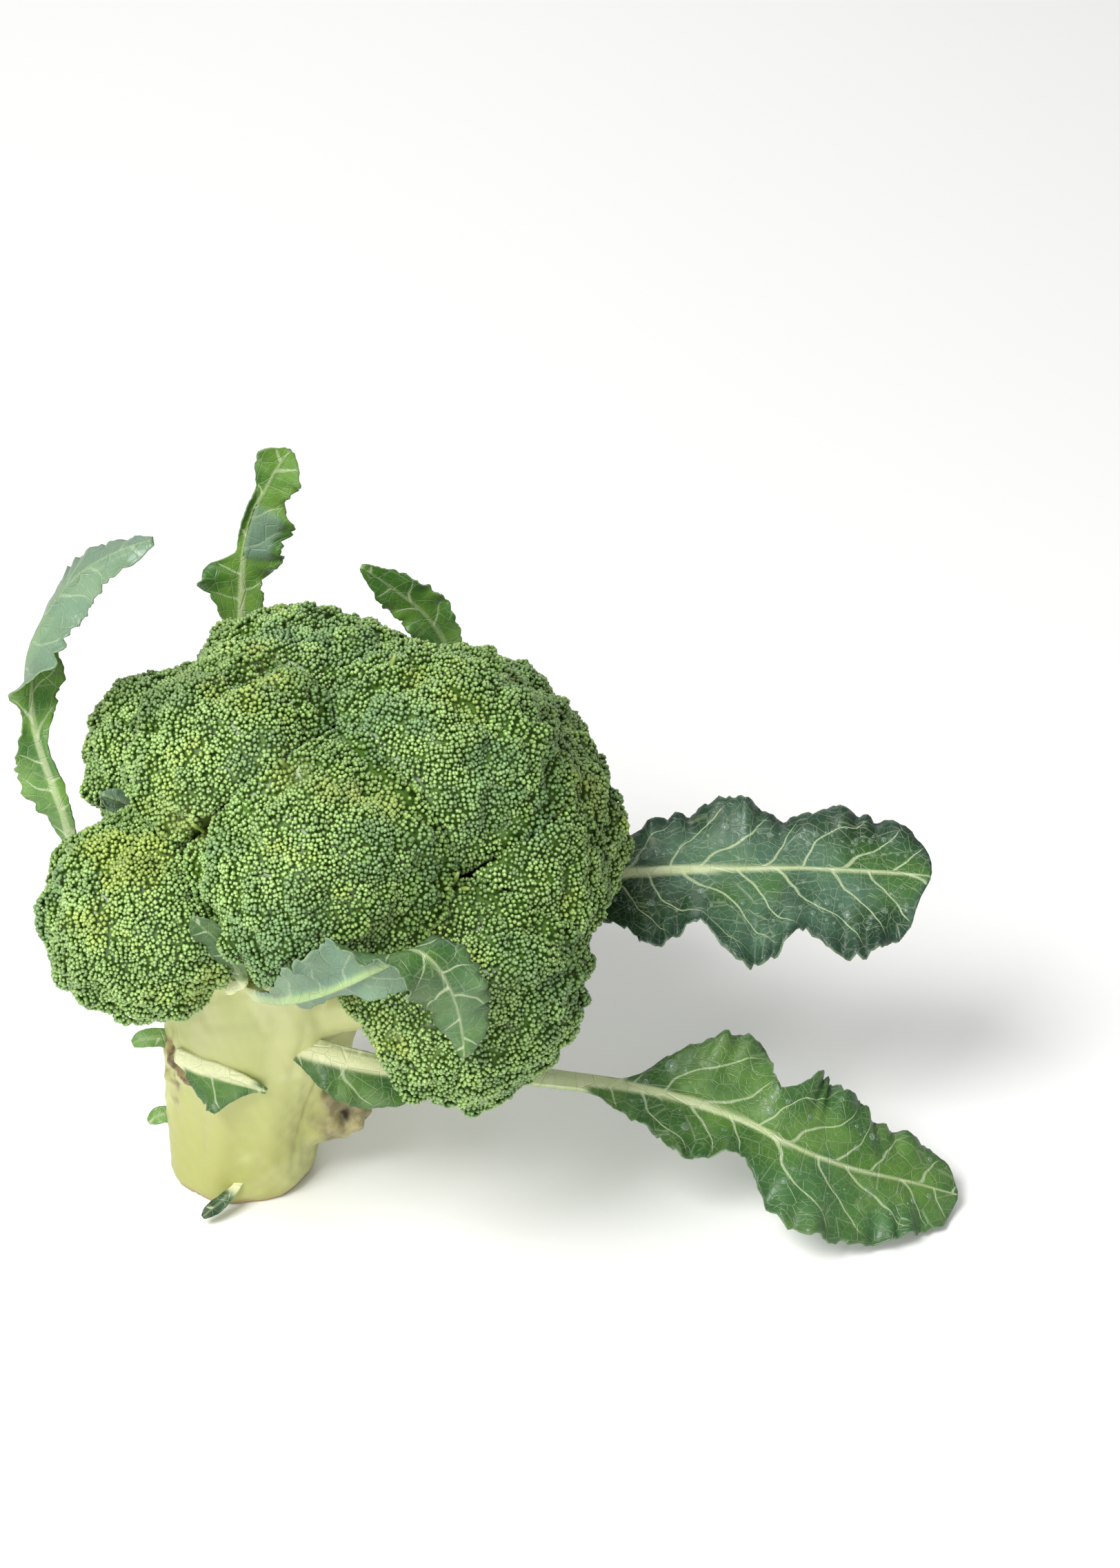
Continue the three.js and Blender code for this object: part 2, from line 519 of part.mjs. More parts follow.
// The distance to a floret's surface: the free distance plus lift, rounded into the planes that
// part it from its neighbours.
function skin(floret, florets, towards, lift) {
  let sum = Math.exp(-(free(floret, florets, towards) + lift) / BLEND);
  for (const other of florets) {
    if (other === floret) continue;
    const away = other.centre.clone().sub(floret.centre);
    const span = away.length();
    const wall = (span * span + floret.radius ** 2 - other.radius ** 2) / (2 * span) - GAP / 2;
    const slope = towards.dot(away) / span;
    if (slope > 0.01) sum += Math.exp(-(wall / slope) / BLEND);
  }
  return -BLEND * Math.log(sum);
}

// Directions for the tops of the clusters: close on the cap, sparse underneath.
function clusterTops(floret, florets) {
  const cap = 1 - Math.cos(DOME_CAP);
  const count = Math.round((2 * Math.PI * floret.radius ** 2 * cap) / CLUSTER_AREA);
  const tops = [];
  for (let k = 0; k < count + CLUSTER_FOOT; k += 1) {
    const onCap = k < count;
    const below = (k - count + 0.5) / CLUSTER_FOOT;
    const height = onCap ? 1 - (cap * (k + 0.5)) / count : 1 - cap - (2 - cap) * below;
    const turn = k * GOLDEN_ANGLE + (onCap ? CLUSTER_SHIFT * draw(17 * floret.index + 3 * k) : 0);
    const top = direction(floret.axis, floret.side, floret.front, height, turn);
    const pressed = skin(floret, florets, top, 0) < PRESSED * free(floret, florets, top);
    if (onCap && pressed && k % PRESSED_KEPT) continue;
    const rise = draw(7 * floret.index + 5 * k);
    top.rise = onCap && !pressed ? THREE.MathUtils.lerp(CLUSTER_RISE.least, CLUSTER_RISE.most, rise) : 0;
    tops.push(top);
  }
  return tops;
}

// A floret: the cluster tops are joined by a mesh over the sphere, a dip is put in the middle of
// each of its faces, and each edge between two tops is turned to run from dip to dip.
function floretSolid(floret, florets, extra) {
  const tops = clusterTops(floret, florets);
  const hull = new ConvexHull().setFromPoints(tops);
  const points = [];
  const topIndex = new Map();
  for (const top of tops) {
    topIndex.set(top, points.length);
    points.push(floret.centre.clone().addScaledVector(top, skin(floret, florets, top, top.rise) + extra));
  }
  const dipIndex = new Map();
  for (const face of hull.faces) {
    const corners = [0, 1, 2].map((i) => face.getEdge(i).head().point);
    const dip = corners[0].clone().add(corners[1]).add(corners[2]).normalize();
    const depth = corners.every((corner) => corner.rise > 0) ? -CLUSTER_DIP : 0;
    dipIndex.set(face, points.length);
    points.push(floret.centre.clone().addScaledVector(dip, skin(floret, florets, dip, depth) + extra));
  }
  const triangles = [];
  for (const face of hull.faces) {
    for (let i = 0; i < 3; i += 1) {
      const edge = face.getEdge(i);
      const start = topIndex.get(edge.tail().point);
      triangles.push([start, dipIndex.get(edge.twin.face), dipIndex.get(face)]);
    }
  }
  return solidOf(geometryOf(points, triangles));
}

// The leaves

// One column of three values of a leaf's rows as a smooth curve.
function column(leaf, first) {
  const values = leaf.rows.map((row) => new THREE.Vector3(...row.slice(first, first + 3)));
  return new THREE.CatmullRomCurve3(values, false, "catmullrom", 0.5);
}

// The seven points across a leaf and how far each is out along the blade, from 0 at the rib to 1.
function across(left, right, rib) {
  return [
    { x: -left, out: 1 },
    { x: -(left + rib) / 2, out: 0.5 },
    { x: -rib, out: 0 },
    { x: 0, out: 0 },
    { x: rib, out: 0 },
    { x: (right + rib) / 2, out: 0.5 },
    { x: right, out: 1 },
  ];
}

// A leaf: at each station the upper and lower face are seven points each, raised by the cup and
// the wave towards the edges, with the rib thick underneath. Both faces are split alike. The
// corners are kept on or over the table.
function leafSolid(leaf) {
  const [ribLine, facing, widths, lifts] = [0, 3, 6, 9].map((first) => column(leaf, first));
  const points = [];
  let along = 0;
  let before = ribLine.getPoint(0);
  for (let i = 0; i < leaf.stations; i += 1) {
    const t = i / (leaf.stations - 1);
    const middle = ribLine.getPoint(t);
    along += middle.distanceTo(before);
    before = middle;
    const tangent = ribLine.getTangent(t);
    const face = facing.getPoint(t);
    face.addScaledVector(tangent, -face.dot(tangent)).normalize();
    const side = new THREE.Vector3().crossVectors(tangent, face);
    const width = widths.getPoint(t);
    const lift = lifts.getPoint(t);
    const rib = Math.max(0.5, width.z);
    const tooth = i % 2 === 1 ? 1 - TOOTH : 1;
    const left = Math.max(rib * 1.1, width.x * tooth);
    const right = Math.max(rib * 1.1, width.y * tooth);
    const section = across(left, right, rib).map(({ x, out }) => {
      const cup = x < 0 ? lift.x : lift.y;
      const phase = (2 * Math.PI * along) / WAVE_LENGTH + (x < 0 ? 0 : 2);
      return { x, y: (cup + lift.z * Math.sin(phase)) * out ** CUP_POWER };
    });
    const place = ({ x, y }) => middle.clone().addScaledVector(side, x).addScaledVector(face, y);
    const walls = [1, -1].map((sign) => section.map((point, k) => {
      const inner = section[Math.max(0, k - 1)];
      const outer = section[Math.min(section.length - 1, k + 1)];
      const run = Math.hypot(outer.x - inner.x, outer.y - inner.y);
      const rise = sign > 0 ? RIB_UPPER[k] * rib : RIB_LOWER[k] * rib;
      const offset = (sign * BLADE) / 2;
      const x = point.x - (offset * (outer.y - inner.y)) / run;
      const y = point.y + (offset * (outer.x - inner.x)) / run + rise;
      const corner = place({ x, y });
      corner.z = Math.max(corner.z, sign > 0 ? BLADE : 0);
      return corner;
    }));
    points.push(...walls.flat());
  }
  return solidOf(geometryOf(points, leafTriangles(leaf.stations)));
}

// The faces between a leaf's stations, its two edges and its two ends.
function leafTriangles(stations) {
  const count = 7;
  const triangles = [];
  for (let i = 0; i < stations - 1; i += 1) {
    const here = 2 * count * i;
    const next = here + 2 * count;
    for (let k = 0; k < count - 1; k += 1) {
      triangles.push([here + k, here + k + 1, next + k + 1], [here + k, next + k + 1, next + k]);
      const a = here + count + k;
      const b = next + count + k;
      triangles.push([a, b + 1, a + 1], [a, b, b + 1]);
    }
    const end = count - 1;
    triangles.push([here, next, here + count], [next, next + count, here + count]);
    triangles.push([here + end, here + count + end, next + end]);
    triangles.push([next + end, here + count + end, next + count + end]);
  }
  const last = 2 * count * (stations - 1);
  for (let k = 0; k < count - 1; k += 1) {
    triangles.push([k, k + count, k + 1], [k + 1, k + count, k + count + 1]);
    const a = last + k;
    triangles.push([a, a + 1, a + count], [a + 1, a + count + 1, a + count]);
  }
  return triangles;
}

// The head put together

const florets = FLORETS.map(withDomes);
const broccoli = new THREE.Group();
broccoli.name = "broccoli_head";

function addPiece(name, solid, material) {
  const mesh = new THREE.Mesh(geometryFrom(solid), material);
  mesh.name = name;
  broccoli.add(mesh);
}

const stalkRoom = stalk(florets, GAP);
addPiece("stalk", stalk(florets, 0), MATERIALS.stalk);

let room = stalkRoom;
for (const floret of florets) {
  const solid = floretSolid(floret, florets, 0).subtract(stalkRoom);
  addPiece(floret.name, largestBody(solid), MATERIALS.floret);
  room = room.add(floretSolid(floret, florets, GAP));
}

for (const leaf of LEAVES) {
  addPiece(leaf.name, largestBody(leafSolid(leaf).subtract(room)), MATERIALS.leaf);
}

export default broccoli;
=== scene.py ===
"""A head of broccoli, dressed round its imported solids: flower buds, stalk, leaves and water drops.

Tables are in millimetres, in the frame of the solids, and meshes are made in metres.
"""

import logging
import math
from dataclasses import dataclass, field
from enum import Enum

import bpy
import numpy as np
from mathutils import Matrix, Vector


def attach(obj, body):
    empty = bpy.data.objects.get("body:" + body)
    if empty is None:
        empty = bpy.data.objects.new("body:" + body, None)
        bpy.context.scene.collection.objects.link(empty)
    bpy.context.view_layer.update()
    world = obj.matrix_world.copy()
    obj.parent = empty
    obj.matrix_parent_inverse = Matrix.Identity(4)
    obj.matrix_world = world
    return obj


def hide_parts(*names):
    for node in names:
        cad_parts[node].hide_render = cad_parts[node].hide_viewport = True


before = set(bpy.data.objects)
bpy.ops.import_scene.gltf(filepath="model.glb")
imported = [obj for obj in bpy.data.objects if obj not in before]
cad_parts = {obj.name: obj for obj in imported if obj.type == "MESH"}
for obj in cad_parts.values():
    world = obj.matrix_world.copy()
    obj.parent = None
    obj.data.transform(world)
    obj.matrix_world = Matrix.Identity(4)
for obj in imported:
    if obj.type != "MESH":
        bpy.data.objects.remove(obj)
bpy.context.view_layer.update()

log = logging.getLogger("broccoli")

Triple = tuple[float, float, float]

MM = 0.001
GOLDEN_ANGLE = math.pi * (3 - math.sqrt(5))

# The florets as the solids have them: name, centre, radius and how far each is joined to others.

HUB = (12.0, 0.0, 66.0)
FLORETS = (
    ("floret_top_back", (23, 17, 149), 38.5, 1.0),
    ("floret_top_right", (62, -7, 147), 40.5, 1.0),
    ("floret_top_left", (5, -22, 160), 31, 0.6),
    ("floret_front", (29, -42, 137), 39, 1.0),
    ("floret_left_back", (-16, 10, 143), 27, 0.1),
    ("floret_left_front", (-18.5, -38, 117.5), 33.5, 0.08),
    ("floret_right_front", (69, -42, 98), 38, 0.8),
    ("floret_right_mid", (82, -21, 119), 30, 1.0),
    ("floret_right", (87, 11, 114), 34, 0.8),
    ("floret_back_right", (73, 45, 119), 35, 0.7),
    ("floret_back", (33, 57, 119), 37, 0.8),
    ("floret_back_left", (-10, 43, 117), 34.5, 0.3),
)

# Small dark openings between florets (place, size and depth), whose middles are painted dark as shade, then
# the places where the clefts are pale inside and where the buds are painted darker as shade.

PITS = (
    ((26, -51, 175), 2.6, 7),
    ((-3.5, -50, 157), 4.2, 7),
    ((-10, -50, 157), 3.2, 5),
    ((14, -11, 186), 2.6, 3.5),
    ((52, -76, 100), 2.5, 4),
    ((57, -77, 92), 2.5, 4),
)
PALE_CLEFTS = (
    (23, -50, 174),
    (35, -55, 172),
    (43, -54, 169),
    (51, -53, 166),
    (-3, -50, 157),
    (-10, -50, 158),
    (10, 0, 183),
    (17, -19, 187),
    (-1, -64, 114),
    (-6, -62, 108),
)
SHADED_CLEFTS = ((-14, -21, 183), (-8, -21, 188), (-21, -18, 175))

# Small pale stems that stand out of the clefts: the floret, the foot and the tip.

SPRIGS = (
    ("floret_right_front", (69, -48, 134), (64, -57, 143)),
    ("floret_right_front", (69, -48, 134), (68, -59, 141)),
    ("floret_right_front", (69, -48, 134), (74, -56, 139)),
    ("floret_right_front", (69, -48, 134), (71, -57, 145)),
    ("floret_right_front", (69, -48, 134), (66, -59, 138)),
    ("floret_top_right", (49.5, -9.5, 181), (52.5, -10, 190)),
    ("floret_front", (-1, -50, 154), (-4, -55, 160)),
    ("floret_front", (24, -46, 172), (21, -50, 178)),
)

# Patches of yellow, above 0, or bluish green: place, size and strength.

PATCHES = (
    ((-22, -53, 148), 13, 0.9),
    ((-26, -66, 128), 12, 0.5),
    ((41, -66, 157), 6, 0.6),
    ((87, -28, 170), 9, -0.9),
    ((48, -68, 157), 9, -0.9),
    ((21, 11, 186), 11, -0.7),
    ((28, -82, 128), 16, -0.8),
    ((78, -40, 172), 14, -0.5),
)

# The stalk's rings: height, centre x and y, half width along x and along y.

STALK_RINGS = (
    (0, 0, 0, 20.8, 20),
    (3, 0.2, 0, 22.4, 21.6),
    (12, 1, 0, 23.2, 22.4),
    (26, 3, 0, 25, 24),
    (40, 5.5, 0, 27, 26),
    (54, 8, 0, 29.5, 28),
    (68, 11, 0, 31.5, 29.5),
    (82, 13.5, 0, 29, 28),
    (94, 15, 0, 21, 21),
    (100, 15, 0, 11, 11),
)
PEEL = ((-21.5, -6, 53), (-19.8, -11, 51), (-17.5, -16, 49.5), (-15, -20, 48), (-11.5, -22.8, 46.5))
KNOB = ((16, -3, 25, 10), (25, -4, 26.5, 11), (33, -5.5, 29, 9.5), (38.5, -6, 31.5, 6))
HOLLOW = (33.5, -14.5, 28)
STUMP = (34, -6, 29)
STUMP_SKIN = (36, -6, 29)
SCAR = (-22, -12, 48)
DRY_PATCH = (-20, -13, 40)

# Cut side shoots high on the stalk (foot, tip and radius), and its upright creases (the turn in
# radians, width, depth, and the heights between which each runs).

SHOOTS = (
    ((-2, -20, 84), (-6, -31, 90), 2.4),
    ((5, -22, 86), (4, -33, 91), 2.0),
    ((-9, -17, 86), (-14, -27, 93), 2.2),
)
CREASES = (
    (-1.45, 0.03, 0.9, 52, 90),
    (-1.12, 0.05, 0.7, 44, 80),
    (-2.1, 0.05, 0.5, 10, 60),
    (-0.75, 0.04, 0.6, 8, 60),
    (0.6, 0.05, 0.8, 20, 85),
    (1.7, 0.05, 0.7, 30, 85),
    (2.7, 0.05, 0.7, 15, 80),
)

# The leaves' rows: a point on the midrib, the way the upper face looks, the half widths left,
# right and of the rib, and how far the left edge, the right edge and the wave rise.

LEAVES = {
    "leaf_right_low": (
        (12, -12, 60, 0, -0.7, 0.7, 5, 5, 4.2, 0, 0, 0),
        (22, -25, 62.5, 0, -0.75, 0.65, 4.5, 5, 3.6, 0, 0, 0),
        (36, -29, 60.5, 0, -0.75, 0.65, 4, 13, 3.1, 0, -1, 1),
        (50, -27, 56, 0, -0.75, 0.65, 4, 12, 2.9, 0, -1, 1),
        (66, -20, 51, 0, -0.6, 0.8, 3.74, 3.74, 2.8, 0, 0, 0),
        (84, -15, 46, 0, -0.5, 0.85, 3.02, 3.02, 2.7, 0, 0, 0),
        (106, -13, 41.5, 0, -0.4, 0.92, 2.91, 2.91, 2.6, 0, 0, 0),
        (120, -14, 40, 0, -0.4, 0.92, 3.4, 9, 2.4, 0, 0, 1),
        (130, -15.6, 38.8, 0, -0.4, 0.92, 13, 14, 2.2, 2, 0, 1),
        (141.4, -18.6, 37, 0, -0.45, 0.9, 23, 19, 2, 4, 2, 2),
        (152, -21.6, 34.6, 0.05, -0.48, 0.88, 27, 16, 1.8, 5, 1, 3),
        (161, -25, 32, 0.1, -0.5, 0.86, 15, 12, 1.6, 3, 1, 3),
        (168.9, -28, 29, 0.15, -0.5, 0.85, 26, 19, 1.45, 2, 0, 3),
        (177.8, -29.3, 25, 0.22, -0.5, 0.84, 27, 27, 1.3, 2, -1, 3),
        (190.5, -28.3, 19, 0.3, -0.48, 0.82, 24, 25, 1.1, 0, -1, 2),
        (202.4, -25.3, 13.5, 0.38, -0.42, 0.82, 20, 21, 0.9, -1, 0, 2),
        (211.2, -23.3, 9.5, 0.42, -0.38, 0.82, 17, 17, 0.8, -1, 0, 1),
        (218.9, -22.1, 6, 0.45, -0.35, 0.82, 12.5, 12, 0.7, -1, 0, 1),
        (223.1, -21.9, 4.5, 0.45, -0.35, 0.82, 1.5, 1.5, 0.6, 0, 0, 0),
    ),
    "leaf_right_mid": (
        (22, 8, 57, 0, -0.2, 1, 4.26, 4.26, 3.8, 0, 0, 0),
        (46, 11, 61, 0, -0.25, 1, 3.58, 3.58, 3.2, 0, 0, 0),
        (72, 16, 70, 0, -0.3, 0.95, 3.25, 3.25, 2.9, 0, 0, 0),
        (97, 19.5, 84, -0.1, -0.35, 0.93, 3.02, 3.02, 2.7, 0, 0, 0),
        (116.5, 20, 94.5, -0.05, -0.41, 0.91, 10, 20, 2.1, 0, 0, 1),
        (127.9, 20, 96.8, -0.05, -0.41, 0.91, 17, 28, 1.9, 1, 1, 2),
        (142.5, 19, 98, -0.05, -0.41, 0.91, 23, 22, 1.7, 3, 1, 3),
        (154.9, 18.5, 98.3, -0.05, -0.41, 0.91, 24, 34, 1.5, 4, 1, 3),
        (166.3, 18, 98.9, -0.05, -0.41, 0.91, 20, 32, 1.3, 2, 0, 3),
        (174.7, 17.5, 99.3, -0.05, -0.41, 0.91, 19, 23, 1.15, 2, 0, 2),
        (182.9, 17, 99.2, -0.05, -0.41, 0.91, 22, 28, 1, 2, -1, 2),
        (192.4, 16.5, 99, -0.05, -0.41, 0.91, 21, 31, 0.9, 2, -2, 2),
        (200.6, 16, 98.7, -0.05, -0.41, 0.91, 19, 27, 0.8, 1, -2, 2),
        (206.9, 15, 98.8, -0.05, -0.41, 0.91, 15, 22, 0.7, 0, -2, 1),
        (210.8, 14.3, 98.8, -0.05, -0.41, 0.91, 9, 14, 0.65, 0, -1, 1),
        (213.1, 13.5, 98.8, -0.05, -0.41, 0.91, 1.5, 2, 0.6, 0, 0, 0),
    ),
    "leaf_left": (
        (-12, 1, 57, -0.3, -0.8, 0.5, 3.58, 3.58, 3.2, 0, 0, 0),
        (-27, 5, 72, -0.4, -0.8, 0.5, 2.91, 2.91, 2.6, 0, 0, 0),
        (-39, 7, 90, -0.5, -0.8, 0.3, 2.35, 2.35, 2.1, 0, 0, 0),
        (-46, 4, 112, -0.4, -0.85, 0.2, 2.02, 2.02, 1.8, 0, 0, 0),
        (-48, 0, 129, -0.3, -0.9, 0.2, 7, 3, 1.6, 0, 0, 0),
        (-51.5, 0, 143, -0.2, -0.95, 0.2, 11, 3.5, 1.5, 1, 0, 1),
        (-54, 0, 154, 0, -1, 0.2, 7, 3, 1.4, 1, 0, 1),
        (-55.4, 0, 165, 0.4, -0.9, 0.1, 3.5, 8, 1.3, 0, 1, 1),
        (-55, 0, 176, 0.9, -0.4, 0, 10, 13, 1.2, 0, 2, 2),
        (-52.6, 0, 187, 0.9, 0.2, -0.1, 12, 13, 1.1, 1, 8, 2),
        (-48.4, 0, 197, 0.65, 0.7, -0.2, 11.5, 10, 1, 0, 11, 2),
        (-42.4, 0, 206, 0.5, 0.75, -0.4, 10, 10, 0.9, 0, 10, 2),
        (-35, 0, 213, 0.4, 0.7, -0.6, 8, 9, 0.8, 0, 8, 1),
        (-25, 0, 218.5, 0.3, 0.6, -0.75, 6, 7, 0.7, 0, 5, 1),
        (-16.7, 0, 221.6, 0.3, 0.6, -0.75, 1.5, 1.5, 0.6, 0, 0, 0),
    ),
    "leaf_back": (
        (11, 16, 57, 0, -0.3, 0.95, 3.81, 3.81, 3.4, 0, 0, 0),
        (7, 38, 64, 0, -0.4, 0.9, 3.25, 3.25, 2.9, 0, 0, 0),
        (2, 62, 76, 0, -0.5, 0.85, 2.69, 2.69, 2.4, 0, 0, 0),
        (-2, 83, 99, 0, -0.8, 0.6, 2.24, 2.24, 2, 0, 0, 0),
        (-2, 93, 127, 0, -1, 0.15, 1.9, 1.9, 1.7, 0, 0, 0),
        (-0.6, 94, 151, 0.05, -1, 0.05, 9, 7.3, 1.5, 1, 1, 1),
        (-0.3, 94, 157.4, 0.05, -1, 0.05, 14.5, 6.6, 1.4, 1, 1, 2),
        (0.2, 94, 162.8, 0.05, -1, 0.05, 12, 11, 1.3, 1, 1, 2),
        (0.8, 94, 168.2, 0.05, -1, 0.05, 3.2, 13.3, 1.2, 1, 1, 1),
        (1.8, 94, 173.5, 0.05, -1, 0.05, 2.8, 12, 1.1, 1, 1, 1),
        (3.6, 94, 180.5, 0.05, -1, 0.05, 2.8, 15, 1, 1, 1, 1),
        (5.9, 94, 186.3, 0.05, -1, 0.05, 2.8, 10.7, 0.95, 1, 1, 1),
        (8.4, 94, 190.5, 0.05, -1, 0.05, 3.4, 7.8, 0.9, 1, 1, 1),
        (11, 94, 195.8, 0.05, -1, 0.05, 6.6, 10, 0.8, 1, 1, 1),
        (14, 94, 200.5, 0.05, -1, 0.05, 8.3, 6.8, 0.7, 1, 1, 1),
        (16.5, 94, 204, 0.05, -1, 0.05, 2, 2, 0.6, 0, 0, 0),
    ),
    "leaf_back_small": (
        (24, 16, 58, 0, -0.3, 0.95, 3.58, 3.58, 3.2, 0, 0, 0),
        (40, 38, 66, 0, -0.4, 0.9, 3.14, 3.14, 2.8, 0, 0, 0),
        (54, 60, 74, 0, -0.5, 0.85, 2.69, 2.69, 2.4, 0, 0, 0),
        (63, 80, 90, 0, -0.7, 0.7, 2.35, 2.35, 2.1, 0, 0, 0),
        (66, 95, 112, 0, -0.9, 0.3, 2.02, 2.02, 1.8, 0, 0, 0),
        (65, 97, 130, 0, -1, 0.1, 6, 5, 1.5, 1, 1, 1),
        (58, 95, 145, 0, -1, 0, 8, 9, 1.2, 1, 2, 2),
        (48.5, 93, 155.5, 0, -1, 0, 7.5, 8, 1, 1, 1, 1),
        (38, 91, 165, 0, -1, 0, 1.5, 1.5, 0.7, 0, 0, 0),
    ),
    "leaf_front": (
        (9, -17, 80, 0, 0.6, 0.8, 2.9, 2.9, 2.6, 0, 0, 0),
        (9.5, -36, 92, 0, 0.7, 0.7, 2.5, 2.5, 2.2, 0, 0, 0),
        (12, -54, 102.5, 0, 0.8, 0.6, 2.2, 2.2, 1.9, 0, 0, 0),
        (19, -69, 110.9, 0, 1, 0.4, 3, 4, 1.6, 0, 0, 0),
        (24.2, -77, 115.9, 0.05, 1, 0.2, 5, 8, 1.4, 0, -1, 1),
        (31.1, -83, 121.3, 0.05, 1, 0.1, 5, 14, 1.3, 0, -2, 2),
        (40.7, -88, 128.7, 0.05, 1, 0.1, 7, 17.5, 1.2, 0, -3, 2),
        (49.3, -91, 135.5, 0, 1, 0.2, 12, 17, 1.1, -2, -3, 2),
        (55.1, -95, 141.8, -0.2, 0.8, 0.6, 16, 14, 1.1, -2, -1, 2),
        (59.6, -98, 145.2, 0, 0.1, 1, 12, 11, 1, 0, 0, 1),
        (64.8, -100, 142.9, 0.2, -0.7, 0.7, 10, 13, 0.95, -1, -1, 2),
        (69, -98, 133.7, 0.1, -0.95, 0.3, 11, 12, 0.85, -2, -1, 2),
        (71.5, -95, 123.6, 0.05, -1, 0.2, 10, 9, 0.75, -2, -1, 2),
        (72.6, -92, 112.9, 0, -1, 0.2, 7, 5, 0.7, -1, -1, 1),
        (72.9, -90, 104.4, 0, -1, 0.2, 1.5, 1.5, 0.6, 0, 0, 0),
    ),
    "leaf_front_small": (
        (3, -18, 80, 0, -0.8, 0.6, 2, 2, 1.7, 0, 0, 0),
        (2, -33, 90, 0, -0.8, 0.6, 1.7, 1.7, 1.4, 0, 0, 0),
        (7.4, -49, 102.1, 0, -0.8, 0.5, 1.6, 1.6, 1.2, 0, 0, 0),
        (6, -60, 116.6, 0, -0.9, 0.2, 3.4, 3.4, 1, 0, 0, 1),
        (2.5, -67, 129, 0, -0.95, -0.1, 4.8, 4.4, 0.8, 1, 1, 1),
        (-1.5, -70, 135.6, 0, -1, -0.1, 4, 4, 0.7, 1, 1, 0),
        (-3.8, -71, 138.8, 0, -1, -0.2, 1, 1, 0.6, 0, 0, 0),
    ),
    "leaflet_in_left_cleft": (
        (-10, -1, 106, 0, 0.8, -0.6, 2, 2, 1.4, 0, 0, 0),
        (-18, -9, 126, 0, 0.8, -0.6, 2, 2, 1.3, 0, 0, 0),
        (-26, -15, 141, 0, 0.8, -0.6, 4, 4, 1, 0, 0, 1),
        (-31, -18, 146, 0, 0.8, -0.6, 3.4, 3.4, 0.9, 0, 0, 1),
        (-34, -19, 148, 0, 0.8, -0.6, 1, 1, 0.7, 0, 0, 0),
    ),
    "leaf_base_left_cut": (
        (-16.8, -17.5, 54.5, -0.75, -0.65, 0.3, 2.4, 2.4, 2.1, 0, 0, 0),
        (-13.1, -21, 54.6, -0.6, -0.8, 0.3, 2.9, 4, 2.6, 0, 0, 0),
        (-8.7, -24, 54.4, -0.45, -0.9, 0.3, 3, 10, 2.7, 0, 1, 0.5),
        (-4.3, -26.5, 54.6, -0.35, -0.92, 0.3, 3, 13, 2.6, 0, 1.5, 1),
        (-0.1, -28, 53.7, -0.25, -0.95, 0.3, 2.8, 12, 2.4, 0, 1.5, 1),
        (4.1, -28.8, 52.4, -0.1, -0.98, 0.3, 2.4, 6, 2, 0, 1, 0.5),
        (7.8, -29, 50.8, 0, -1, 0.3, 1.9, 2.2, 1.5, 0, 0, 0),
        (11, -28.8, 49.1, 0, -1, 0.3, 1, 1, 0.8, 0, 0, 0),
    ),
    "sprout_at_foot": (
        (2, -18, 10, 0, -0.6, 0.8, 1.3, 1.3, 1.1, 0, 0, 0),
        (-0.5, -23.5, 8.5, 0, -0.6, 0.8, 1.4, 1.4, 1, 0, 0, 0),
        (-4, -27, 6.5, 0, -0.6, 0.8, 2.3, 2.3, 0.8, 0, 0, 1),
        (-8, -30, 4.6, 0, -0.6, 0.8, 2.1, 2.1, 0.7, 0, 0, 0),
        (-10, -31.5, 3.4, 0, -0.6, 0.8, 0.8, 0.8, 0.6, 0, 0, 0),
    ),
    "bud_leaf_left_upper": (
        (-17, -7, 53, 0, -0.7, 0.7, 3, 3, 1.2, 0, 0, 0),
        (-24, -7.5, 54, 0, -0.7, 0.7, 3, 3, 1.05, 0, 0, 0),
        (-28.5, -8, 53.5, 0, -0.7, 0.7, 2.6, 2.8, 0.9, 0, 0, 0),
        (-31, -8, 52, 0, -0.7, 0.7, 1.2, 1.2, 0.7, 0, 0, 0),
    ),
    "bud_leaf_left_lower": (
        (-18, -1, 20, 0, -0.7, 0.7, 2.6, 2.6, 1.05, 0, 0, 0),
        (-23.5, -1, 20.5, 0, -0.7, 0.7, 2.8, 2.8, 0.98, 0, 0, 0),
        (-26.5, -1.5, 19.5, 0, -0.7, 0.7, 2.4, 2.6, 0.83, 0, 0, 0),
        (-28.5, -1.5, 18, 0, -0.7, 0.7, 1, 1, 0.7, 0, 0, 0),
    ),
}

# How each leaf looks: how fresh a green it is, from 0 for dark and bluish to 1 for bright, how
# deep its teeth are, and how pale its rib is above and underneath.

LOOKS = {
    "leaf_right_low": (0.5, 1.1, 1.0, 1.0),
    "leaf_right_mid": (0.0, 1.1, 1.0, 1.0),
    "leaf_left": (0.85, 2.2, 0.5, 0.1),
    "leaf_back": (0.8, 1.7, 0.6, 0.3),
    "leaf_back_small": (0.85, 2.2, 0.4, 0.4),
    "leaf_front": (0.35, 2.6, 0.6, 0.8),
    "leaf_front_small": (0.45, 1.0, 0.2, 0.4),
    "leaflet_in_left_cleft": (0.1, 1.0, 0.2, 0.2),
    "leaf_base_left_cut": (0.7, 2.0, 1.0, 1.0),
    "sprout_at_foot": (0.1, 1.0, 0.15, 0.15),
    "bud_leaf_left_upper": (0.7, 1.0, 0.15, 0.15),
    "bud_leaf_left_lower": (0.8, 1.0, 0.15, 0.15),
}

# Where a blade is folded over and shows its underside: from and to, in shares of the rows.

FOLDS = {"leaf_back": (0.5, 0.74), "leaflet_in_left_cleft": (-0.5, 1.5)}


# Small sums on whole arrays


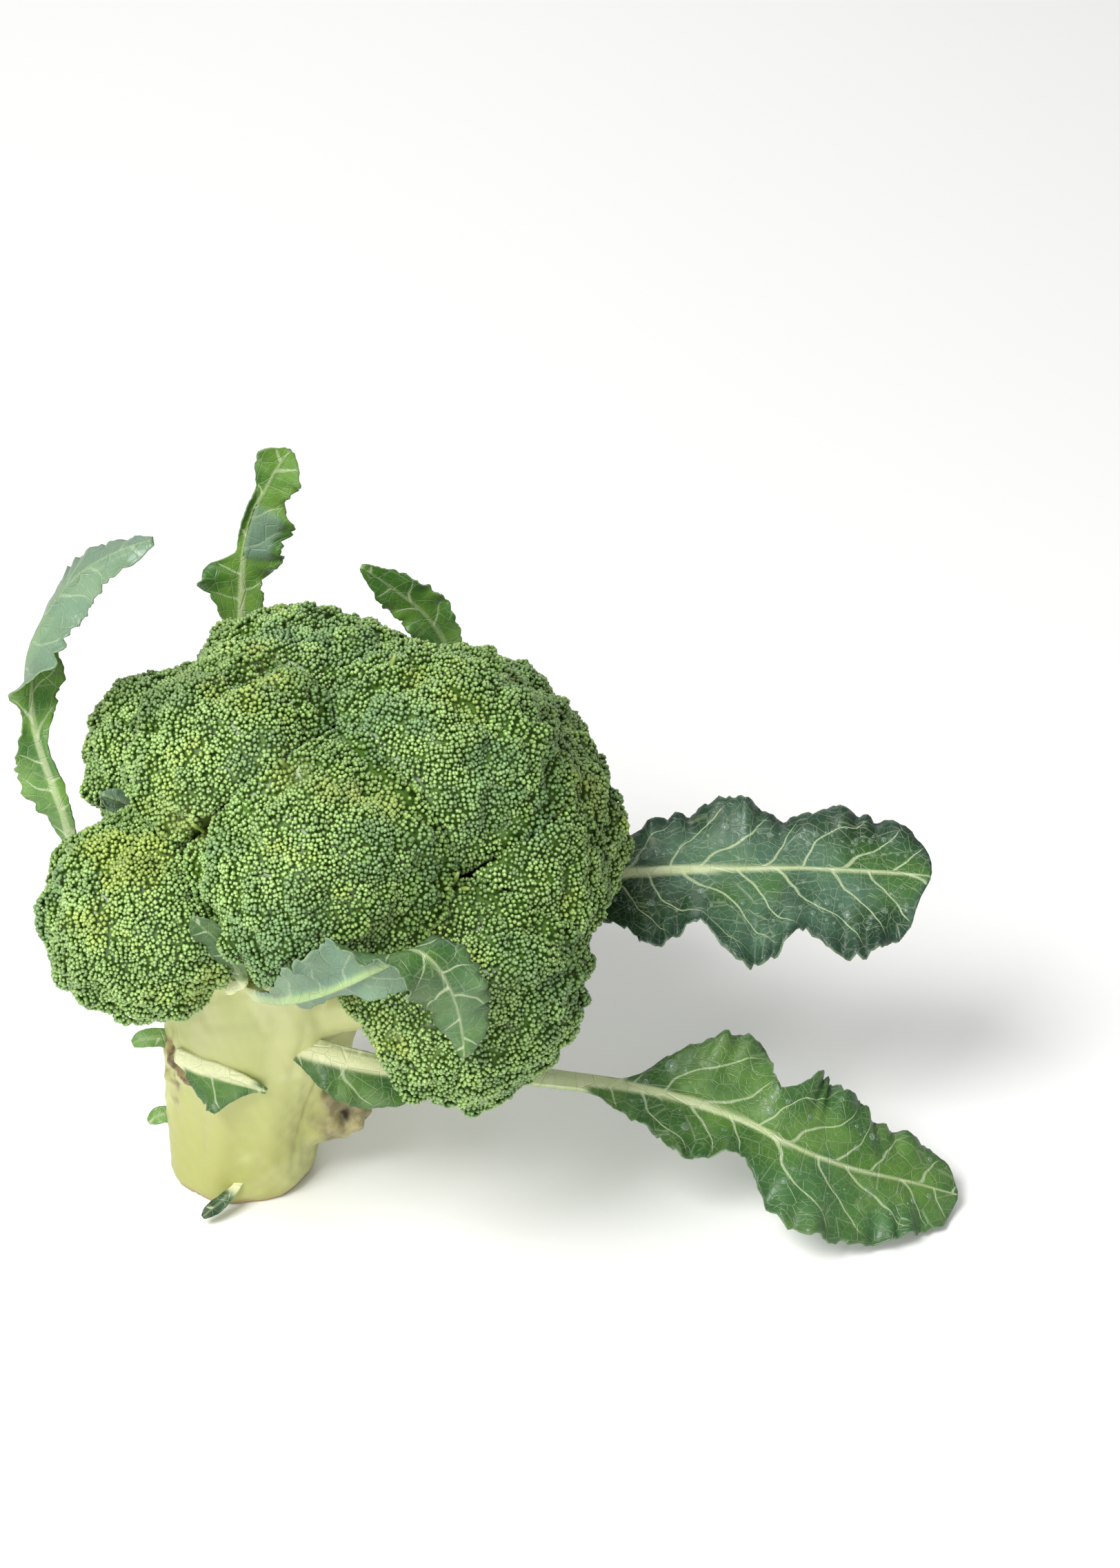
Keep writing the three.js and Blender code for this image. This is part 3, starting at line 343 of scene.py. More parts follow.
def draw(number: np.ndarray) -> np.ndarray:
    """A repeatable draw between 0 and 1: the fraction of 43758.5453 times sin(12.9898 number)."""
    value = np.sin(np.asarray(number, float) * 12.9898) * 43758.5453
    return value - np.floor(value)


def smoothstep(low: float, high: float, value: np.ndarray) -> np.ndarray:
    """Rises from 0 at low to 1 at high as 3 t squared less 2 t cubed."""
    t = np.clip((value - low) / (high - low), 0, 1)
    return t * t * (3 - 2 * t)


def unit(vectors: np.ndarray) -> np.ndarray:
    """The vectors divided by their lengths."""
    return vectors / np.maximum(np.linalg.norm(vectors, axis=-1, keepdims=True), 1e-12)


def linear(code: str) -> tuple[float, float, float, float]:
    """A colour of six hexadecimal digits as linear red, green, blue and full alpha.

    Args:
        code: the digits, such as 8a9c76.

    Returns:
        The four numbers, each from 0 to 1.
    """
    parts = [int(code[i : i + 2], 16) / 255 for i in (0, 2, 4)]
    light = [c / 12.92 if c <= 0.04045 else ((c + 0.055) / 1.055) ** 2.4 for c in parts]
    return (*light, 1.0)


def waves(points: np.ndarray, length: float, seed: int) -> np.ndarray:
    """Smooth noise of about unit size: the sum of eight sine waves of random directions.

    Args:
        points: places in millimetres, any shape ending in 3.
        length: the wavelength in millimetres.
        seed: picks the directions and phases.

    Returns:
        One value a point.
    """
    rng = np.random.default_rng(seed)
    ways = unit(rng.normal(size=(8, 3))) * rng.uniform(0.7, 1.4, (8, 1)) * 2 * math.pi / length
    phases = rng.uniform(0, 2 * math.pi, 8)
    return np.sin(points @ ways.T + phases).sum(-1) / 2


@dataclass
class Surface:
    """Points, triangles and values a point, which can be joined to others and made an object."""

    points: np.ndarray
    triangles: np.ndarray
    values: dict[str, np.ndarray] = field(default_factory=dict)

    def volume(self) -> float:
        """The signed volume: a sixth of the sum of the triangles' triple products."""
        a, b, c = (self.points[self.triangles[:, k]] for k in range(3))
        return float(np.einsum("ij,ij->i", a, np.cross(b, c)).sum() / 6)

    def outward(self) -> "Surface":
        """The same surface with its faces outwards, if it is closed.

        Returns:
            The surface itself.
        """
        if self.volume() < 0:
            self.triangles = self.triangles[:, ::-1]
        return self

    @staticmethod
    def join(parts: list["Surface"]) -> "Surface":
        """One surface of several that hold the same values.

        Args:
            parts: the surfaces, each with the same names of values.

        Returns:
            The joined surface.
        """
        starts = np.cumsum([0] + [len(p.points) for p in parts[:-1]])
        return Surface(
            np.concatenate([p.points for p in parts]),
            np.concatenate([p.triangles + s for p, s in zip(parts, starts)]),
            {k: np.concatenate([p.values[k] for p in parts]) for k in parts[0].values},
        )

    def mesh(self, name: str) -> bpy.types.Mesh:
        """The surface as a Blender mesh in metres, smooth shaded.

        Args:
            name: the mesh's name.

        Returns:
            The mesh, with the values as attributes and u and v, if it has them, as its UV map.
        """
        made = bpy.data.meshes.new(name)
        count = len(self.triangles)
        made.vertices.add(len(self.points))
        made.vertices.foreach_set("co", (self.points * MM).astype(np.float32).ravel())
        made.loops.add(3 * count)
        made.loops.foreach_set("vertex_index", self.triangles.astype(np.int32).ravel())
        made.polygons.add(count)
        made.polygons.foreach_set("loop_start", np.arange(0, 3 * count, 3, dtype=np.int32))
        for key, value in self.values.items():
            if key in ("u", "v"):
                continue
            layer = made.attributes.new(key, "FLOAT", "POINT")
            layer.data.foreach_set("value", value.astype(np.float32))
        if "u" in self.values:
            corners = self.triangles.ravel()
            pairs = np.stack([self.values["u"][corners], self.values["v"][corners]], 1)
            made.uv_layers.new(name="flat").data.foreach_set("uv", pairs.astype(np.float32).ravel())
        made.update(calc_edges=True)
        made.shade_smooth()
        return made


def closed_loft(rings: np.ndarray) -> tuple[np.ndarray, np.ndarray]:
    """Joins rings of equally many points with quads and closes each end with a fan.

    Args:
        rings: rings by points by 3.

    Returns:
        The points and the triangles, the two end centres last.
    """
    rows, sides, _ = rings.shape
    i, k = np.meshgrid(np.arange(rows - 1), np.arange(sides), indexing="ij")
    a = (i * sides + k).ravel()
    b = (i * sides + (k + 1) % sides).ravel()
    walls = np.concatenate([np.stack([a, b, b + sides], 1), np.stack([a, b + sides, a + sides], 1)])
    first, last = rows * sides, rows * sides + 1
    k = np.arange(sides)
    n = (k + 1) % sides
    top = (rows - 1) * sides
    ends = np.concatenate(
        [np.stack([np.full(sides, first), n, k], 1), np.stack([np.full(sides, last), top + k, top + n], 1)]
    )
    points = np.concatenate([rings.reshape(-1, 3), rings[:1].mean(1), rings[-1:].mean(1)])
    return points, np.concatenate([walls, ends])


def tube(path: np.ndarray, radii: np.ndarray, sides: int) -> tuple[np.ndarray, np.ndarray]:
    """A round stem: at each point of the path a ring in the plane across the path.

    Args:
        path: points by 3.
        radii: one a point.
        sides: points a ring.

    Returns:
        The points and the triangles of the closed stem.
    """
    along = unit(np.gradient(path, axis=0))
    helper = np.array([0.0, 1.0, 0.0]) if abs(along[:, 1].mean()) < 0.8 else np.array([1.0, 0.0, 0.0])
    first = unit(np.cross(along, helper))
    second = np.cross(along, first)
    turn = 2 * math.pi * np.arange(sides) / sides
    ring = np.cos(turn)[None, :, None] * first[:, None] + np.sin(turn)[None, :, None] * second[:, None]
    return closed_loft(path[:, None] + radii[:, None, None] * ring)


def bezier(start: np.ndarray, bend: np.ndarray, end: np.ndarray, count: int) -> np.ndarray:
    """Points of the quadratic curve from start to end that leans towards bend."""
    t = np.linspace(0, 1, count)[:, None]
    return (1 - t) ** 2 * start + 2 * t * (1 - t) * bend + t**2 * end


def rows_at(rows: np.ndarray, t: np.ndarray) -> np.ndarray:
    """The rows at shares t of their count, on a smooth curve through all of them.

    Between two rows the curve is the cubic with their values, whose slope at each row is half
    the step between its two neighbours.

    Args:
        rows: the table's rows.
        t: shares from 0 to 1 of the way through the rows.

    Returns:
        A row for each share.
    """
    led = np.concatenate([2 * rows[:1] - rows[1:2], rows, 2 * rows[-1:] - rows[-2:-1]])
    place = t * (len(rows) - 1)
    i = np.minimum(place.astype(int), len(rows) - 2)
    w = (place - i)[:, None]
    before, here, there, after = led[i], led[i + 1], led[i + 2], led[i + 3]
    return (
        (2 * w**3 - 3 * w**2 + 1) * here
        + (w**3 - 2 * w**2 + w) * 0.5 * (there - before)
        + (3 * w**2 - 2 * w**3) * there
        + (w**3 - w**2) * 0.5 * (after - here)
    )


@dataclass(frozen=True)
class Waves:
    """Soft waves in a skin: their height, length, seed and a factor on each axis."""

    height: float
    length: float
    seed: int
    stretch: Triple = (1, 1, 1)

    def at(self, points: np.ndarray) -> np.ndarray:
        """The waves' height at each point."""
        return self.height * waves(points * self.stretch, self.length, self.seed)


@dataclass(frozen=True)
class Spot:
    """A place on a skin: its centre, its size and a factor on each axis."""

    centre: Triple
    size: float = 1.0
    stretch: Triple = (1, 1, 1)

    def far(self, points: np.ndarray) -> np.ndarray:
        """How far each point is from the centre, with the axes stretched."""
        return np.linalg.norm((points - self.centre) * self.stretch, axis=1)

    def soft(self, points: np.ndarray) -> np.ndarray:
        """1 at the centre, falling like a bell to nothing beyond the size."""
        return np.exp(-((self.far(points) / self.size) ** 2))


# Finishes


class Blend(Enum):
    """How two colours are put together."""

    MIX = "MIX"
    MULTIPLY = "MULTIPLY"


class Sum(Enum):
    """The sums that a node can do on numbers."""

    PLUS = "ADD"
    LESS = "SUBTRACT"
    TIMES = "MULTIPLY"
    OVER = "DIVIDE"
    GREATER = "MAXIMUM"
    SIZE = "ABSOLUTE"
    FRACTION = "FRACT"


class Pattern:
    """Builds one material's nodes with short calls."""

    # The mix node's sockets for colours: two inputs and the output, by number.
    MIX_COLOURS = (6, 7, 2)

    def __init__(self, name: str) -> None:
        """Starts an empty material with a principled shader and its output.

        Args:
            name: the material's name.
        """
        self.material = bpy.data.materials.new(name)
        self.material.use_nodes = True
        self.tree = self.material.node_tree
        self.tree.nodes.clear()
        out = self.tree.nodes.new("ShaderNodeOutputMaterial")
        self.shader = self.tree.nodes.new("ShaderNodeBsdfPrincipled")
        self.tree.links.new(self.shader.outputs[0], out.inputs[0])
        self.place = self.tree.nodes.new("ShaderNodeTexCoord").outputs["Object"]

    def put(self, socket: bpy.types.NodeSocket, value: object) -> None:
        """Links an output to a socket, or sets its number or colour.

        Args:
            socket: the input to fill.
            value: an output to link, or the value itself.
        """
        if isinstance(value, bpy.types.NodeSocket):
            self.tree.links.new(value, socket)
        else:
            socket.default_value = value

    def flat(self) -> bpy.types.NodeSocket:
        """The piece's own UV map.

        Returns:
            The map's output.
        """
        node = self.tree.nodes.new("ShaderNodeUVMap")
        node.uv_map = "flat"
        return node.outputs[0]

    def value(self, name: str) -> bpy.types.NodeSocket:
        """One of the piece's values a point.

        Args:
            name: the attribute's name.

        Returns:
            Its output as a number.
        """
        node = self.tree.nodes.new("ShaderNodeAttribute")
        node.attribute_name = name
        return node.outputs["Fac"]

    def math(self, kind: Sum, a: object, b: object = 0.0) -> bpy.types.NodeSocket:
        """A sum on one or two numbers, clamped nowhere.

        Args:
            kind: which sum.
            a: the first number or output.
            b: the second, if the sum has one.

        Returns:
            The result's output.
        """
        node = self.tree.nodes.new("ShaderNodeMath")
        node.operation = kind.value
        self.put(node.inputs[0], a)
        self.put(node.inputs[1], b)
        return node.outputs[0]

    def times(self, a: object, b: object) -> bpy.types.NodeSocket:
        """The product of two numbers."""
        return self.math(Sum.TIMES, a, b)

    def plus(self, a: object, b: object) -> bpy.types.NodeSocket:
        """The sum of two numbers."""
        return self.math(Sum.PLUS, a, b)

    def less(self, a: object, b: object) -> bpy.types.NodeSocket:
        """The first number less the second."""
        return self.math(Sum.LESS, a, b)

    def step(self, value: object, low: float, high: float) -> bpy.types.NodeSocket:
        """Rises smoothly from 0 at low to 1 at high, or falls if low is the greater.

        Args:
            value: the number or output to look at.
            low: where the result is 0.
            high: where the result is 1.

        Returns:
            The result's output.
        """
        node = self.tree.nodes.new("ShaderNodeMapRange")
        node.interpolation_type = "SMOOTHSTEP"
        falls = low > high
        self.put(node.inputs[0], value)
        node.inputs[1].default_value = min(low, high)
        node.inputs[2].default_value = max(low, high)
        node.inputs[3].default_value = 1.0 if falls else 0.0
        node.inputs[4].default_value = 0.0 if falls else 1.0
        return node.outputs[0]

    def noise(self, scale: float, detail: float = 3.0, stretch: Triple = (1, 1, 1)) -> bpy.types.NodeSocket:
        """Cloudy noise between 0 and 1 on the piece's object coordinates.

        Args:
            scale: how many clouds fit in a metre, roughly.
            detail: how many finer layers it has.
            stretch: a factor on each axis.

        Returns:
            The noise's output.
        """
        mapping = self.tree.nodes.new("ShaderNodeMapping")
        mapping.inputs["Scale"].default_value = stretch
        self.put(mapping.inputs[0], self.place)
        node = self.tree.nodes.new("ShaderNodeTexNoise")
        self.put(node.inputs["Vector"], mapping.outputs[0])
        node.inputs["Scale"].default_value = scale
        node.inputs["Detail"].default_value = detail
        return node.outputs["Fac"]

    def cells(self, where: bpy.types.NodeSocket, scale: float) -> bpy.types.NodeSocket:
        """The distance to the edges of irregular cells.

        Args:
            where: the coordinates.
            scale: how many cells fit in one unit of them.

        Returns:
            The distance's output.
        """
        node = self.tree.nodes.new("ShaderNodeTexVoronoi")
        node.feature = "DISTANCE_TO_EDGE"
        self.put(node.inputs["Vector"], where)
        node.inputs["Scale"].default_value = scale
        return node.outputs["Distance"]

    def mix(self, share: object, a: object, b: object, how: Blend = Blend.MIX) -> bpy.types.NodeSocket:
        """Two colours together, b by the share.

        Args:
            share: how much of b shows, from 0 to 1.
            a: the first colour: digits, numbers or an output.
            b: the second colour, given the same way.
            how: the way they are put together.

        Returns:
            The colour's output.
        """
        node = self.tree.nodes.new("ShaderNodeMix")
        node.data_type = "RGBA"
        node.blend_type = how.value
        self.put(node.inputs["Factor"], share)
        first, second, result = self.MIX_COLOURS
        self.put(node.inputs[first], linear(a) if isinstance(a, str) else a)
        self.put(node.inputs[second], linear(b) if isinstance(b, str) else b)
        return node.outputs[result]

    def coat(self, colour: object, roughness: float, specular: float = 0.5) -> None:
        """Sets the shader's colour, roughness and specular level.

        Args:
            colour: digits, numbers or an output.
            roughness: from 0 for a mirror to 1 for chalk.
            specular: how strongly it shines.
        """
        inputs = self.shader.inputs
        self.put(inputs["Base Color"], linear(colour) if isinstance(colour, str) else colour)
        inputs["Roughness"].default_value = roughness
        inputs["Specular IOR Level"].default_value = specular

    def bump(self, height: object, depth: float, strength: float) -> None:
        """Puts relief of that depth in metres on the shader.

        Args:
            height: the relief's height, as an output.
            depth: the depth in metres.
            strength: how much of it shows.
        """
        node = self.tree.nodes.new("ShaderNodeBump")
        node.inputs["Distance"].default_value = depth
        node.inputs["Strength"].default_value = strength
        self.put(node.inputs["Height"], height)
        self.put(self.shader.inputs["Normal"], node.outputs[0])


@dataclass(frozen=True)
class BudFinish:
    """Flower buds: painted shade in the gaps and at their feet, a painted highlight at the tips, with yellow
    and bluish patches.
    """

    # The gap colour is painted shade at the buds' feet and between them; the tip colour is a painted
    # highlight.
    gap: str = "31541d"
    body: str = "57792c"
    tip: str = "a8c885"
    yellow: str = "a3ad45"
    blue: str = "5f8668"
    stem: str = "aeba66"
    stem_deep: str = "8fa653"
    # The range of the value shade: brightness that differs at random by cluster and by bud, with painted
    # shade in the shaded clefts and the pits.
    shaded: tuple[float, ...] = (0.58, 0.6, 0.6, 1)
    lit: tuple[float, ...] = (1.27, 1.22, 1.1, 1)
    yellow_share: float = 0.5
    blue_share: float = 0.45
    clouding: float = 0.5
    roughness: float = 0.3
    specular: float = 0.4

    def material(self) -> bpy.types.Material:
        """The finish as a material on the values tip, shade, tone and stem.

        Returns:
            The new material.
        """
        p = Pattern("buds")
        tip, shade, tone = p.value("tip"), p.value("shade"), p.value("tone")
        # Each bud is painted darker towards its foot as shade and lighter at its tip as a highlight.
        low = p.mix(p.step(tip, 0.0, 0.45), self.gap, self.body)
        bead = p.mix(p.step(tip, 0.45, 1.0), low, self.tip)
        clouds = p.noise(70.0, 2.0)
        above = p.plus(tone, p.times(clouds, self.clouding))
        yellow = p.times(p.step(above, 0.55, 1.2), p.step(tip, 0.2, 0.9))
        below = p.less(tone, p.times(clouds, self.clouding))
        blue = p.times(p.step(below, -0.2, -0.9), p.step(tip, 0.1, 0.8))
        bead = p.mix(p.times(yellow, self.yellow_share), bead, self.yellow)
        bead = p.mix(p.times(blue, self.blue_share), bead, self.blue)
        light = p.mix(shade, self.shaded, self.lit)
        bead = p.mix(1.0, bead, light, Blend.MULTIPLY)
        stem = p.mix(p.noise(160.0, 3.0), self.stem, self.stem_deep)
        p.coat(p.mix(p.value("stem"), bead, stem), self.roughness, self.specular)
        return p.material


@dataclass(frozen=True)
class StalkFinish:
    """The stalk's skin: pale waxy yellow-green with streaks, brown where it was torn or cut, and painted
    shade in the stump's hollow.
    """

    low: str = "a2a35a"
    high: str = "c4c78c"
    streak: str = "aebd62"
    cloud: str = "e6e8bd"
    branch: str = "b9c67c"
    brown: str = "6f6541"
    brown_pale: str = "aca272"
    dry: str = "8e7c54"
    dry_deep: str = "5c4e33"
    # The colour of the painted shade in the stump's hollow.
    dark: str = "2b2214"
    cut: str = "a88f5e"
    upright: Triple = (1, 1, 0.16)
    streak_share: float = 0.35
    cloud_share: float = 0.3
    cut_share: float = 0.8
    roughness: float = 0.42
    subsurface: float = 0.12
    subsurface_radius: Triple = (0.004, 0.004, 0.0015)
    relief: float = 0.0006
    relief_strength: float = 0.5

    def material(self) -> bpy.types.Material:
        """The finish as a material on the values height, torn, hole, dried, rim and branch.

        Returns:
            The new material.
        """
        p = Pattern("stalk_skin")
        skin = p.mix(p.step(p.value("height"), 0.0, 0.9), self.low, self.high)
        streaks = p.noise(90.0, 4.0, self.upright)
        skin = p.mix(p.times(p.step(streaks, 0.45, 0.8), self.streak_share), skin, self.streak)
        skin = p.mix(p.times(p.step(p.noise(40.0, 3.0), 0.5, 0.75), self.cloud_share), skin, self.cloud)
        skin = p.mix(p.value("branch"), skin, self.branch)
        specks = p.noise(420.0, 4.0)
        dry = p.mix(p.step(specks, 0.4, 0.7), self.dry, self.dry_deep)
        skin = p.mix(p.value("dried"), skin, dry)
        brown = p.mix(p.step(p.noise(160.0, 5.0), 0.3, 0.65), self.brown, self.brown_pale)
        skin = p.mix(p.value("torn"), skin, brown)
        # Painted shade darkens the stump's hollow.
        skin = p.mix(p.value("hole_shade"), skin, self.dark)
        skin = p.mix(p.times(p.value("rim"), self.cut_share), skin, self.cut)
        p.coat(skin, self.roughness)
        p.shader.inputs["Subsurface Weight"].default_value = self.subsurface
        p.shader.inputs["Subsurface Radius"].default_value = self.subsurface_radius
        p.bump(p.plus(streaks, p.times(specks, p.value("torn"))), self.relief, self.relief_strength)
        return p.material


@dataclass(frozen=True)
class LeafFinish:
    """A leaf: bluish green above with pale veins, paler and duller underneath."""

    deep: str = "17331b"
    mid: str = "294a2f"
    glossy: str = "3c6420"
    bloom: str = "54735f"
    rim: str = "263d36"
    fresh_deep: str = "427028"
    fresh_mid: str = "70993f"
    under: str = "708a6b"
    under_blue: str = "64806a"
    vein: str = "a5b58c"
    vein_under: str = "a9b996"
    margin: str = "8a9c76"
    rib: str = "cdd5ac"
    rib_deep: str = "bfcb98"
    rib_under: str = "8aa765"
    base: str = "dfe2b2"
    net_scale: float = 15.0
    fine_scale: float = 40.0
    gloss_share: float = 0.8
    bloom_share: float = 0.65
    fine_share: float = 0.14
    net_share: float = 0.24
    vein_share: float = 0.85
    under_share: float = 0.35
    rim_share: float = 0.5
    margin_share: float = 0.35
    rib_under_share: float = 0.75
    vein_width: float = 0.066
    vein_taper: float = 0.054
    roughness: float = 0.36
    specular: float = 0.4
    relief: float = 0.0003
    relief_strength: float = 0.6

    def material(self) -> bpy.types.Material:
        """The finish as a material on the values upper, out, rib, veins, fresh and base.

        Returns:
            The new material.
        """
        p = Pattern("leaf_skin")
        upper, out, fresh = p.value("upper"), p.value("out"), p.value("fresh")
        net = p.step(p.cells(p.flat(), self.net_scale), 0.035, 0.0)
        fine = p.step(p.cells(p.flat(), self.fine_scale), 0.07, 0.0)
        lateral = self.lateral(p, out)
        blade = p.mix(p.step(p.noise(55.0, 3.0), 0.35, 0.65), self.deep, self.mid)
        near = p.times(p.step(out, 0.75, 0.1), p.step(p.noise(42.0, 2.0), 0.42, 0.6))
        blade = p.mix(p.times(near, self.gloss_share), blade, self.glossy)
        clouds = p.times(p.step(p.noise(26.0, 4.0), 0.44, 0.66), p.step(out, 1.0, 0.7))
        blade = p.mix(p.times(clouds, self.bloom_share), blade, self.bloom)
        light = p.mix(p.step(p.noise(60.0, 3.0), 0.35, 0.65), self.fresh_deep, self.fresh_mid)
        blade = p.mix(fresh, blade, light)
        blade = p.mix(p.times(fine, self.fine_share), blade, self.vein)
        blade = p.mix(p.times(net, self.net_share), blade, self.vein)
        blade = p.mix(p.times(lateral, self.vein_share), blade, self.vein)
        back = p.mix(p.step(p.noise(60.0, 3.0), 0.3, 0.7), self.under, self.under_blue)
        lines = p.math(Sum.GREATER, p.times(net, 0.5), lateral)
        back = p.mix(p.times(lines, self.under_share), back, self.vein_under)
        rim = p.times(p.step(out, 0.72, 0.98), p.less(1.0, fresh))
        blade = p.mix(p.times(rim, self.rim_share), blade, self.rim)
        both = p.mix(upper, back, blade)
        both = p.mix(p.times(p.step(out, 0.965, 1.0), self.margin_share), both, self.margin)
        rib = p.mix(p.step(p.noise(120.0, 3.0), 0.3, 0.7), self.rib, self.rib_deep)
        rib = p.mix(upper, p.mix(self.rib_under_share, rib, self.rib_under), rib)
        rib = p.mix(p.value("base"), rib, self.base)
        p.coat(p.mix(p.value("rib"), both, rib), self.roughness, self.specular)
        sunken = p.math(Sum.GREATER, net, p.times(fine, 0.4))
        relief = p.plus(p.times(sunken, -1.0), p.times(p.noise(500.0, 2.0), 0.5))
        p.bump(relief, self.relief, self.relief_strength)
        return p.material

    def lateral(self, p: Pattern, out: bpy.types.NodeSocket) -> bpy.types.NodeSocket:
        """Thin veins from the rib outwards, where the fraction of the value veins is near a half.

        Args:
            p: the pattern to build in.
            out: the share of the way from the rib to the edge.

        Returns:
            How much of a vein is at each place.
        """
        away = p.math(Sum.SIZE, p.less(p.math(Sum.FRACTION, p.value("veins")), 0.5))
        thin = p.less(self.vein_width, p.times(out, self.vein_taper))
        line = p.step(p.math(Sum.OVER, away, thin), 1.0, 0.3)
        return p.times(line, p.step(out, 1.0, 0.7))


@dataclass(frozen=True)
class WaterFinish:
    """Small drops: mostly see-through, with a bright gloss and a pale tint that is painted light."""

    # The pale tint is painted light: it stands in for the brightness inside a clear drop.
    colour: str = "a3bda8"
    alpha: float = 0.2
    roughness: float = 0.04
    specular: float = 1.0

    def material(self) -> bpy.types.Material:
        """The finish as a thin, glossy, partly clear material.

        Returns:
            The new material.
        """
        p = Pattern("water")
        p.coat(self.colour, self.roughness, self.specular)
        p.shader.inputs["Alpha"].default_value = self.alpha
        return p.material


def place_piece(
    name: str, mesh: bpy.types.Mesh, material: bpy.types.Material, nodes: tuple[str, ...]
) -> bpy.types.Object:
    """Puts a mesh in the scene as a piece of the head.

    Args:
        name: the piece's name.
        mesh: its mesh, already in place.
        material: its finish.
        nodes: the solids that it stands for.

    Returns:
        The new object.
    """
    piece = bpy.data.objects.new(name, mesh)
    mesh.materials.append(material)
    bpy.context.scene.collection.objects.link(piece)
    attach(piece, "root")
    if nodes:
        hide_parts(*nodes)
    log.info("%s: %d faces", name, len(mesh.polygons))
    return piece


# The florets


@dataclass
class Floret:
    """One cushion of buds: a rounded cap on its branch, folded into domes."""

    name: str
    index: int
    centre: np.ndarray
    radius: float
    joined: float
    dome_area: float = 520.0
    dome_cap: float = 2.05
    dome_shift: float = 0.4
    dome_spread: float = 1.25
    dome_rise: float = 0.06

    def __post_init__(self) -> None:
        """Works out the axis away from the hub and the domes' directions."""
        self.axis = unit(self.centre - np.array(HUB))
        self.side = unit(np.cross(self.axis, [0.0, 1.0, 0.0]))
        self.front = np.cross(self.axis, self.side)
        self.cap = 1 - math.cos(self.dome_cap)
        count = self.count(self.dome_area)
        k = np.arange(count)
        turn = k * GOLDEN_ANGLE + self.dome_shift * draw(31 * self.index + k)
        self.domes = self.towards(1 - self.cap * (k + 0.5) / count, turn)
        self.rises = self.dome_rise * (draw(53 * self.index + 2 * k) - 0.5)
        self.spread = self.dome_spread * math.acos(1 - self.cap / count)

    def count(self, area: float) -> int:
        """How many patches of that area the cap holds."""
        return round(2 * math.pi * self.radius**2 * self.cap / area)

    def towards(self, height: np.ndarray, turn: np.ndarray) -> np.ndarray:
        """Unit vectors at a height along the axis and a turn about it.

        Args:
            height: how far along the axis, from -1 to 1.
            turn: the turn about it in radians.

        Returns:
            One unit vector each.
        """
        across = np.sqrt(np.maximum(0, 1 - height**2))
        return (
            height[..., None] * self.axis
            + (across * np.cos(turn))[..., None] * self.side
            + (across * np.sin(turn))[..., None] * self.front
        )


